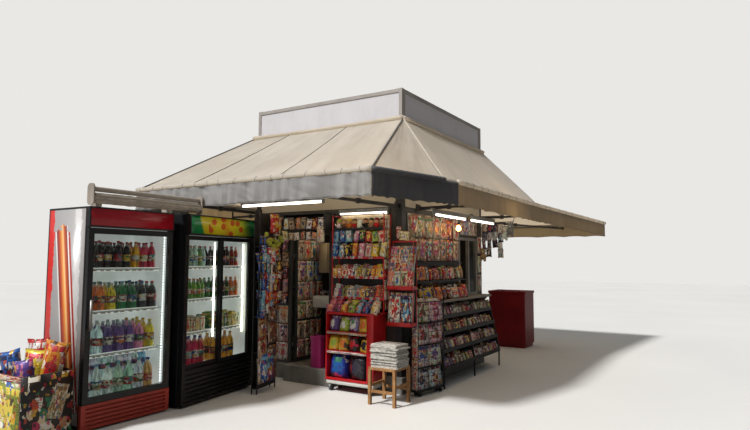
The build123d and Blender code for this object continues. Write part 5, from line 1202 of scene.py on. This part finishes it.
def red_frames():
    """The red shelf unit and the corner rack as they are: thin posts, lipped shelves, a dark back."""
    unit = Build()
    left, right, near, far, low, high, post = 0.27, 1.05, -1.49, -1.32, 0.955, 2.18, 0.014
    inner = (left + post, right - post)
    for x in (left, right - post):
        unit.boxes(*((x, x + post, y, y + post, low, high) for y in (near, far - post)))
        unit.boxes(*((x + 0.004, x + 0.01, near + post, far - post, z, z + 0.01)
                     for z in (1.05, 1.27, 1.52, 1.82, high - 0.016)), edge=0.001)
    unit.boxes((left, right, near, near + 0.01, high - 0.014, high - 0.002), slot=1)
    for top, dark in ((1.14, 0), (1.395, 0), (1.64, 0), (2.0, 1)):
        unit.box(*inner, near + 0.003, far, top - 0.01, top, 0.002, dark)
        unit.box(*inner, near, near + 0.004, top - 0.02, top + 0.008, 0.001, dark)
    unit.boxes((left, right, near, far, low, low + 0.012))
    unit.box(*inner, far - 0.005, far - 0.001, low, 2.0, 0.001, 1)
    unit.box(*inner, far - 0.005, far - 0.001, 2.0, high, 0.001, 2)
    unit.piece("red_shelf_unit_frame", RED_ENAMEL, POST_PAINT, BEIGE_PAINT, stands_for=["red_shelf_unit"])
    rack = Build()
    left, right, near, far, low, high, post = 1.11, 1.44, -1.528, -1.378, 0.824, 1.84, 0.008
    rack.boxes(*((x, x + post, y, y + post, low, high) for x in (left, right - post)
                 for y in (near + 0.06, far - post)))
    for z in (low, 1.252):
        rack.boxes((left, right, near, far, z, z + 0.008))
        rack.boxes((left, right, near, near + 0.004, z, z + 0.05),
                   (left, left + 0.004, near, far, z, z + 0.05),
                   (right - 0.004, right, near, far, z, z + 0.05), edge=0.001)
    rack.boxes((left, right, far - 0.012, far, high - 0.02, high))
    rack.box(left + 0.01, right - 0.01, far - 0.004, far - 0.001, low, high - 0.02, 0.001, 1)
    rack.piece("corner_rack_frame", RED_ENAMEL, POST_PAINT, stands_for=["corner_rack"])


def wire_frame():
    """The magazine rack as it is: square posts, wire fronts, a sheet foot on two wheels."""
    rack = Build(MAGAZINE_RACK)
    ends = (0.0, 0.501)
    rack.boxes(*((x, x + 0.014, y, y + 0.014, 0.055, 1.11) for x in (-0.095, -0.014) for y in ends))
    for z in (0.055, 1.096):
        rack.boxes((-0.014, 0.0, 0.0, 0.515, z, z + 0.014))
        rack.boxes(*((-0.095, 0.0, y, y + 0.014, z, z + 0.014) for y in ends))
    for z in (0.06 + 0.2625 * tier for tier in range(4)):
        for rise in (0.02, 0.09, 0.16):
            rack.tube([(-0.004, 0.008, z + rise), (-0.004, 0.507, z + rise)], 0.0028, 6)
        for y in (0.13, 0.2575, 0.385):
            rack.tube([(-0.09, y, z + 0.008), (-0.004, y, z + 0.012), (-0.004, y, z + 0.165)], 0.0025, 6)
        rack.box(-0.09, -0.004, 0.01, 0.505, z + 0.001, z + 0.004, 0.001)
    rack.box(-0.094, -0.091, 0.01, 0.505, 0.06, 1.1, 0.001)
    for y in (0.06, 0.455):
        for x in (-0.08, -0.02):
            rack.lathe([(0.026, 0.0), (0.028, 0.004), (0.028, 0.016), (0.026, 0.02)], 12,
                       Matrix.Translation((x, y + 0.01, 0.03)) @ Matrix.Rotation(pi / 2, 4, "X"))
            rack.boxes((x - 0.012, x + 0.012, y - 0.014, y + 0.014, 0.03, 0.058))
    rack.piece("magazine_rack_frame", ARM_BLACK, stands_for=["magazine_rack"])


def lamp():
    """The pendant lamp: a bracket, a stiff stem, a socket and an opal bulb."""
    x, y = 1.42, -0.1
    base = Build()
    base.tube([(1.5, y, 2.24), (1.46, y, 2.243), (x, y, 2.24)], 0.006, 8)
    base.tube([(x, y, 2.242), (x + 0.002, y, 2.2), (x, y, 2.135)], 0.004, 8)
    base.lathe([(0.012, 0.0), (0.017, 0.004), (0.017, 0.034), (0.009, 0.045)], 14,
               Matrix.Translation((x, y, 2.092)))
    base.piece("lamp_holder", POST_PAINT, stands_for=["pendant_lamp"])
    bulb = Build()
    bulb.lathe([(0.006, 0.0), (0.022, 0.006), (0.032, 0.022), (0.034, 0.036), (0.03, 0.052), (0.02, 0.068),
                (0.014, 0.08)], 18, Matrix.Translation((x, y, 2.013)))
    bulb.piece("opal_bulb", BULB_LIT, stands_for=["pendant_lamp"])


def figures():
    """Small toys and a cup on the unit's top shelf, and plush toys that hang at the serving side."""
    toys, heads, cups = Goods(), Goods(), Goods()
    for at, pair in enumerate(("white lime", "brown tan", "orange yellow", "red brown", "", "black brown",
                               "tan black", "red wine", "brown black")):
        x = 0.335 + 0.082 * at
        if not pair:
            cups.put((x, -1.43, 2.001), 0, (0.04, 0.04, 0.11), "white")
            continue
        ink, hair = pair.split()
        turn = jog(30)
        toys.put((x, -1.43, 2.001), turn, (0.036, 0.028, 0.08), ink, tip=jog(6))
        for hand in (-1, 1):
            toys.put((x + 0.026 * hand, -1.445, 2.035), turn, (0.012, 0.012, 0.04), ink, tip=35 * hand)
        heads.put((x, -1.432, 2.062), turn, (0.033, 0.03, 0.058), "#C79A72")
        heads.put((x, -1.426, 2.085), turn, (0.036, 0.034, 0.044), hair)
    for x, z, ink, inner in ((1.6, 1.95, "white", "cream"), (1.69, 2.01, "grey", "white"),
                             (1.24, 1.62, "tan", "cream")):
        toys.put((x, 1.3, z), 0, (0.052, 0.042, 0.12), ink)
        heads.put((x, 1.295, z + 0.1), 0, (0.046, 0.04, 0.084), ink)
        heads.put((x, 1.257, z + 0.118), 0, (0.018, 0.012, 0.028), inner)
        for hand in (-1, 1):
            heads.put((x + 0.034 * hand, 1.3, z + 0.163), 0, (0.016, 0.012, 0.034), ink)
            toys.put((x + 0.045 * hand, 1.28, z + 0.045), 0, (0.018, 0.02, 0.07), ink, tip=-40 * hand)
            toys.put((x + 0.034 * hand, 1.265, z - 0.028), 0, (0.022, 0.03, 0.06), ink)
    toys.make("toy_bodies", "ball", PLUSH)
    heads.make("toy_heads", "ball", PLUSH)
    cups.make("paper_cups", "can", CAP)


def hanging_goods():
    """A rod from the far corner of the serving side to the rail, and strips of packets that hang from it."""
    y, z = 1.3, 2.215
    rod = Build()
    rod.tube([(1.195, y, z), (1.4, y, z), (1.74, y, z)], 0.006, 8)
    rod.tube([(1.735, y, z), (1.76, y, 2.3), (1.797, y, 2.44)], 0.005, 8)
    packets = Goods()
    for x, foot in ((1.26, 1.75), (1.345, 1.6), (1.44, 1.7), (1.53, 1.58), (1.6, 2.12), (1.69, 2.17)):
        top = z - 0.03
        while top - 0.12 > foot:
            tall = between(0.11, 0.15)
            packets.put((x + jog(0.008), y - 0.018, top - tall), jog(25),
                        (between(0.085, 0.105), 0.032, tall),
                        pick("white grey navy cream black #5B6B86 wine"), pick("sky white red navy"),
                        tip=jog(6))
            top -= tall * 0.97
        rod.box(x - 0.008, x + 0.008, y - 0.001, y + 0.001, min(top, z - 0.06), z + 0.004, 0.0005)
    rod.piece("hanging_strips", POST_PAINT)
    packets.make("hanging_packets", "packet", FILM_PRINT)


def side_goods():
    """The stepped shelves below the counter, the counter itself and the ledges above it."""
    packets = Goods()
    # Painted shade: the packets below the counter take dark inks for the shade of the counter over them
    for z, reach in ((0.23, 0.33), (0.44, 0.29), (0.65, 0.24), (0.85, 0.19)):
        y = -0.75
        while y < 1.16:
            wide = between(0.08, 0.13)
            for depth in range(2):
                packets.put((1.17 + reach - 0.06 * depth, y + wide / 2, z + 0.003 + 0.02 * depth),
                            90 + jog(10), (wide * 1.1, 0.04, between(0.12, 0.16)),
                            pick("cream tan #8F7B60 brown wine #6E5A48 #B9A78C"), pick(SNACKS), lean=18)
            y += wide
    y = -1.12
    while y < 0.35:
        wide = between(0.12, 0.19)
        for depth in range(3):
            ink, second = (("yellow", "blue"), ("navy", "yellow"))[depth % 2] if y < -0.85 else (
                pick("red orange red brown cream"), pick("yellow white orange"))
            packets.put((1.35 - 0.06 * depth, y + wide / 2, 1.0875 + 0.02 * depth), 90 + jog(20),
                        (wide * 1.1, 0.07, between(0.15, 0.2)), ink, second, lean=14)
        y += wide
    for x in (1.29, 1.23):
        for at in range(15):
            packets.put((x, -1.1 + 0.1 * at, 1.3455), 90 + jog(15), (0.11, 0.05, between(0.14, 0.2)),
                        pick("red brown cream orange tan wine"), pick(SNACKS), lean=8)
    packets.make("side_packets", "packet", FILM_PRINT)
    ledge = Build()
    ledge.boxes((WALL_X, 1.25, -1.16, 0.4, 1.565, 1.58), (WALL_X, 1.32, -1.16, 0.4, 1.33, 1.345))
    ledge.piece("serving_wall_ledges", POST_PAINT)


def doorway_goods():
    """The shelves over the doorway, the goods beside it, and what shows of the room behind."""
    board = Build()
    board.boxes(*((-0.5, 0.2, -1.56, -1.3205, z, z + 0.012) for z in (1.99, 2.2)),
                *((x, x + 0.012, -1.56, -1.3205, 1.99, 2.212) for x in (-0.5, 0.188)))
    board.piece("door_head_shelf", POST_PAINT)
    bags = Goods()
    for y, z, deep, size, lean, rise in ((-1.54, 2.004, 2, (0.1, 0.03, 0.17), 5, 0.0),
                                         (-1.545, 1.865, 1, (0.098, 0.03, 0.125), 0, 0.02)):
        inks = " ".join(pick("cream #B9A78C white tan wine") for _ in range(7))
        ranks(bags, -0.45, y, z, 0.095, deep, size, lean, inks, rise)
    bags.put((0.13, -1.55, 1.83), 10, (0.13, 0.05, 0.2), "cream", "pink")
    for column in range(4):
        z = 1.0
        while z < 2.1:
            tall = between(0.13, 0.2)
            bags.put((-0.64 - 0.125 * column + jog(0.01), -1.335 - 0.02 * (column % 2), z), jog(15),
                     (0.125, 0.03, tall), pick("wine brown navy tan cream red"), pick(SNACKS), tip=jog(5))
            z += tall
    bags.make("doorway_packets", "packet", FILM_PRINT)
    covers = Goods()
    for column in range(3):
        for row in range(3):
            covers.put((-0.66 - 0.17 * column, -1.328, 0.24 + 0.25 * row), 0, (0.16, 0.006, 0.235),
                       pick(PALE), pick(COVERS))
    covers.make("doorway_covers", "cover", COVER_PRINT)
    room = Build()
    room.box(-0.371, -0.086, -0.92, -0.72, 1.424, 1.845, 0.006)
    room.boxes((-0.36, -0.23, -0.925, -0.92, 1.44, 1.83), (-0.22, -0.095, -0.925, -0.92, 1.44, 1.83))
    room.piece("wall_cabinet", BEIGE_PAINT)
    white = Build()
    white.box(-0.413, -0.046, -1.0, -0.75, 0.943, 1.094, 0.006)
    white.boxes((-0.4, -0.06, -0.98, -0.77, 1.094, 1.1))
    white.piece("white_carton", PAPER_WHITE)
    shelves = Build()
    shelves.boxes(*((-1.1, 1.1, -0.75, -0.35, z, z + 0.02) for z in (0.9, 1.4)))
    shelves.piece("room_shelves", POST_PAINT)
    boxes = Goods()
    for z in (0.921, 1.421):
        inks = " ".join(pick("brown tan wine grey navy") for _ in range(18))
        ranks(boxes, -1.0, -0.72, z, 0.12, 1, (0.1, 0.1, 0.28), 0, inks)
    boxes.make("room_boxes", "carton", BOX_PRINT)
    tub = Build()
    wall, foot, top = 0.006, 0.2005, 0.62
    near, far, left, right = -1.46, -1.345, -0.075, 0.09
    tub.boxes((left, right, near, near + wall, foot, top), (left, right, far - wall, far, foot, top),
              (left, left + wall, near, far, foot, top), (right - wall, right, near, far, foot, top),
              (left, right, near, far, foot, foot + wall))
    tub.boxes((left - 0.008, right + 0.008, near - 0.008, near + wall, top - 0.03, top),
              (right - wall, right + 0.008, near - 0.008, far, top - 0.03, top), edge=0.003)
    tub.piece("pink_bin", MAGENTA)


def bin_bags():
    """Bags that stand in the snack bin, and the printed boards on its sides."""
    bags = Goods()
    for x, y, z, size, turn, lean, tip, ink, second in (
            (-0.65, -4.56, 0.44, (0.22, 0.1, 0.42), 40, 4, 11, "#D08A22", "red"),
            (-0.64, -4.72, 0.4, (0.2, 0.1, 0.32), 30, 0, -12, "purple", "pink"),
            (-0.86, -4.52, 0.44, (0.22, 0.1, 0.42), 30, 4, -4, "red", "white"),
            (-0.88, -4.7, 0.42, (0.22, 0.1, 0.36), 30, 0, -14, "blue", "navy"),
            (-0.76, -4.64, 0.42, (0.24, 0.1, 0.36), 30, 8, 4, "yellow", "red"),
            (-0.72, -4.5, 0.4, (0.2, 0.1, 0.36), 60, 4, 2, "orange", "yellow")):
        bags.put((x, y, z), turn, size, ink, second, lean=lean, tip=tip)
    bags.make("bin_bags", "packet", FILM_PRINT)
    boards = Goods()
    for x, y, z, turn, wide, tall, ink, second, tip in (
            (-0.752, -4.862, 0.01, 0, 0.512, 0.535, "#7E8A36", "#D9C24A", 0),
            (-0.752, -4.8625, 0.545, 0, 0.512, 0.052, "red", "cream", 0),
            (-0.4922, -4.63, 0.01, 90, 0.456, 0.587, "#1E1A15", "#2E2418", 0),
            (-0.4915, -4.57, 0.2, 90, 0.13, 0.3, "#C9BD96", "#8A6A3A", 14),
            (-1.012, -4.63, 0.01, -90, 0.456, 0.587, "#1E1A15", "#2E2418", 0)):
        boards.put((x, y, z), turn, (wide, 0.002, tall), ink, second, tip=tip)
    boards.make("bin_boards", "cover", BOARD_PRINT)


def awning():
    """The outer lap of the rolled awning above the first cooler: cream cloth with crumpled ends."""
    lap = Build()
    rows, sides, x, z = 44, 22, -0.47, 2.178
    points, maps = [], []
    for share in (row / rows for row in range(rows + 1)):
        loose = 0.05 + 0.006 * noise.noise(Vector((share * 18, 0, 1)))
        for step in range(sides + 1):
            angle = 2 * pi * 0.96 * step / sides + 0.4
            swell = loose + 0.004 * noise.noise(Vector((share * 9, angle, 4)))
            points.append((x + swell * cos(angle), -4.3 + 1.25 * share, z + swell * sin(angle)))
            maps.append((1.25 * share, 0.3 * step / sides))
    faces = quads(sides, rows)
    lap.add(points, faces, [[maps[i] for i in face] for face in faces])
    made = lap.mesh("awning_lap", CREAM_CANVAS)
    skin = made.modifiers.new("skin", "SOLIDIFY")
    skin.thickness = 0.002
    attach(made, "kiosk")


def strips_and_sheets():
    """Cover strips over the joints of the two blind walls, the cart's pale base sheet and red stile."""
    strips = Build()
    half, thick, foot, top = 0.02, 0.0032, 0.202, 2.44
    for at in (-0.66, 0.0, 0.66):
        strips.boxes((-WALL_X - thick, -WALL_X, at - half, at + half, foot, top),
                     (at - half, at + half, WALL_Y, WALL_Y + thick, foot, top), edge=0.001)
    strips.piece("cover_strips", POST_PAINT)
    base = Build()
    base.boxes((0.31, 0.99, -1.6325, -1.6285, 0.092, 0.1395), (0.9875, 0.9915, -1.6285, -1.36, 0.092, 0.1395),
               edge=0.001)
    base.piece("cart_base", PAPER_WHITE)
    stile = Build()
    stile.box(0.905, 0.9985, -1.6445, -1.6403, 0.146, 0.948, 0.001)
    stile.piece("cart_stile", RED_ENAMEL)


def studio():
    """The camera where the photograph was taken, a pale floor and backdrop, and soft light."""
    scene = bpy.context.scene
    scene.view_settings.view_transform = "Standard"
    lens = bpy.data.cameras.new("camera")
    lens.lens, lens.sensor_width = 27.774, 36
    camera = bpy.data.objects.new("camera", lens)
    scene.collection.objects.link(camera)
    look = Matrix.Rotation(radians(31.755), 4, "Z") @ Matrix.Rotation(radians(94.5), 4, "X")
    roll = Matrix.Rotation(radians(0.297), 4, "Z")
    camera.matrix_world = Matrix.Translation((4.65, -7.52, 1.6)) @ look @ roll
    scene.camera = camera
    scene.world = bpy.data.worlds.new("studio")
    scene.world.use_nodes = True
    tree = scene.world.node_tree
    tree.nodes.clear()
    path = add(tree, "LightPath").outputs
    seen = add(tree, "Math MAXIMUM", path["Is Camera Ray"], path["Is Transmission Ray"])
    back = add(tree, "Mix", seen, linear("#C9CCD0"), linear("#E9E8E5"))
    power = add(tree, "MapRange", seen, To_Min=0.22, To_Max=1.0)
    add(tree, "OutputWorld", add(tree, "Background", back, power))
    mesh = bpy.data.meshes.new("floor")
    mesh.from_pydata([(-40, -40, 0), (40, -40, 0), (40, 40, 0), (-40, 40, 0)], [], [(0, 1, 2, 3)])
    floor = bpy.data.objects.new("floor", mesh)
    scene.collection.objects.link(floor)
    finish, tree = blank("studio floor")
    soft = add(tree, "TexNoise", Vector=add(tree, "TexCoord").outputs["Object"], Scale=0.3)
    pale = add(tree, "ValToRGB", soft, stops=((0.3, "#D3D1CD"), (0.7, "#D9D7D3")))
    shade = add(tree, "Mix", add(tree, "LightPath").outputs["Is Camera Ray"], linear("#8E8A84"), pale)
    surface(tree, Base_Color=shade, Roughness=0.8)
    mesh.materials.append(finish)
    # Suns turned from straight down, then warm lamps that light the room and the goods under the canopy
    for name, energy, size, place, turn in (
            ("key", 3.8, 0.12, (0, 0, 9), (41, 0, -19)), ("sky", 0.7, 2.2, (0, 0, 9), (25, 0, -50)),
            ("room", 8, 0.12, (0.1, -1.0, 2.2), None), ("under_canopy", 12, 0.25, (1.6, -2.75, 1.7), None),
            ("serving_side", 4.8, 0.2, (1.85, 0.1, 2.15), None)):
        light = bpy.data.lights.new(name, "SUN" if turn else "POINT")
        light.energy = energy
        made = bpy.data.objects.new(name, light)
        made.location = place
        made.visible_glossy = bool(turn)
        if turn:
            light.angle = size
            made.rotation_euler = [radians(angle) for angle in turn]
        else:
            light.shadow_soft_size = size
            light.color = (1.0, 0.84, 0.62)
        scene.collection.objects.link(made)


for finish, nodes in NODES_OF:
    for node in nodes.split():
        for slot in NODES[node].material_slots:
            slot.material = finish
# The order keeps the random draws as they are
for step in (canopy, valances, cooler_1_drinks, cooler_2_drinks, cooler_fittings, cooler_sheets,
             wire_rack_goods, cover_goods, red_frames, wire_frame, red_unit_goods, lamp, figures,
             hanging_goods, side_goods, doorway_goods, bin_bags, awning, strips_and_sheets):
    step()
for shape in SHAPES.values():
    bpy.data.objects.remove(shape)
studio()
bpy.context.view_layer.update()
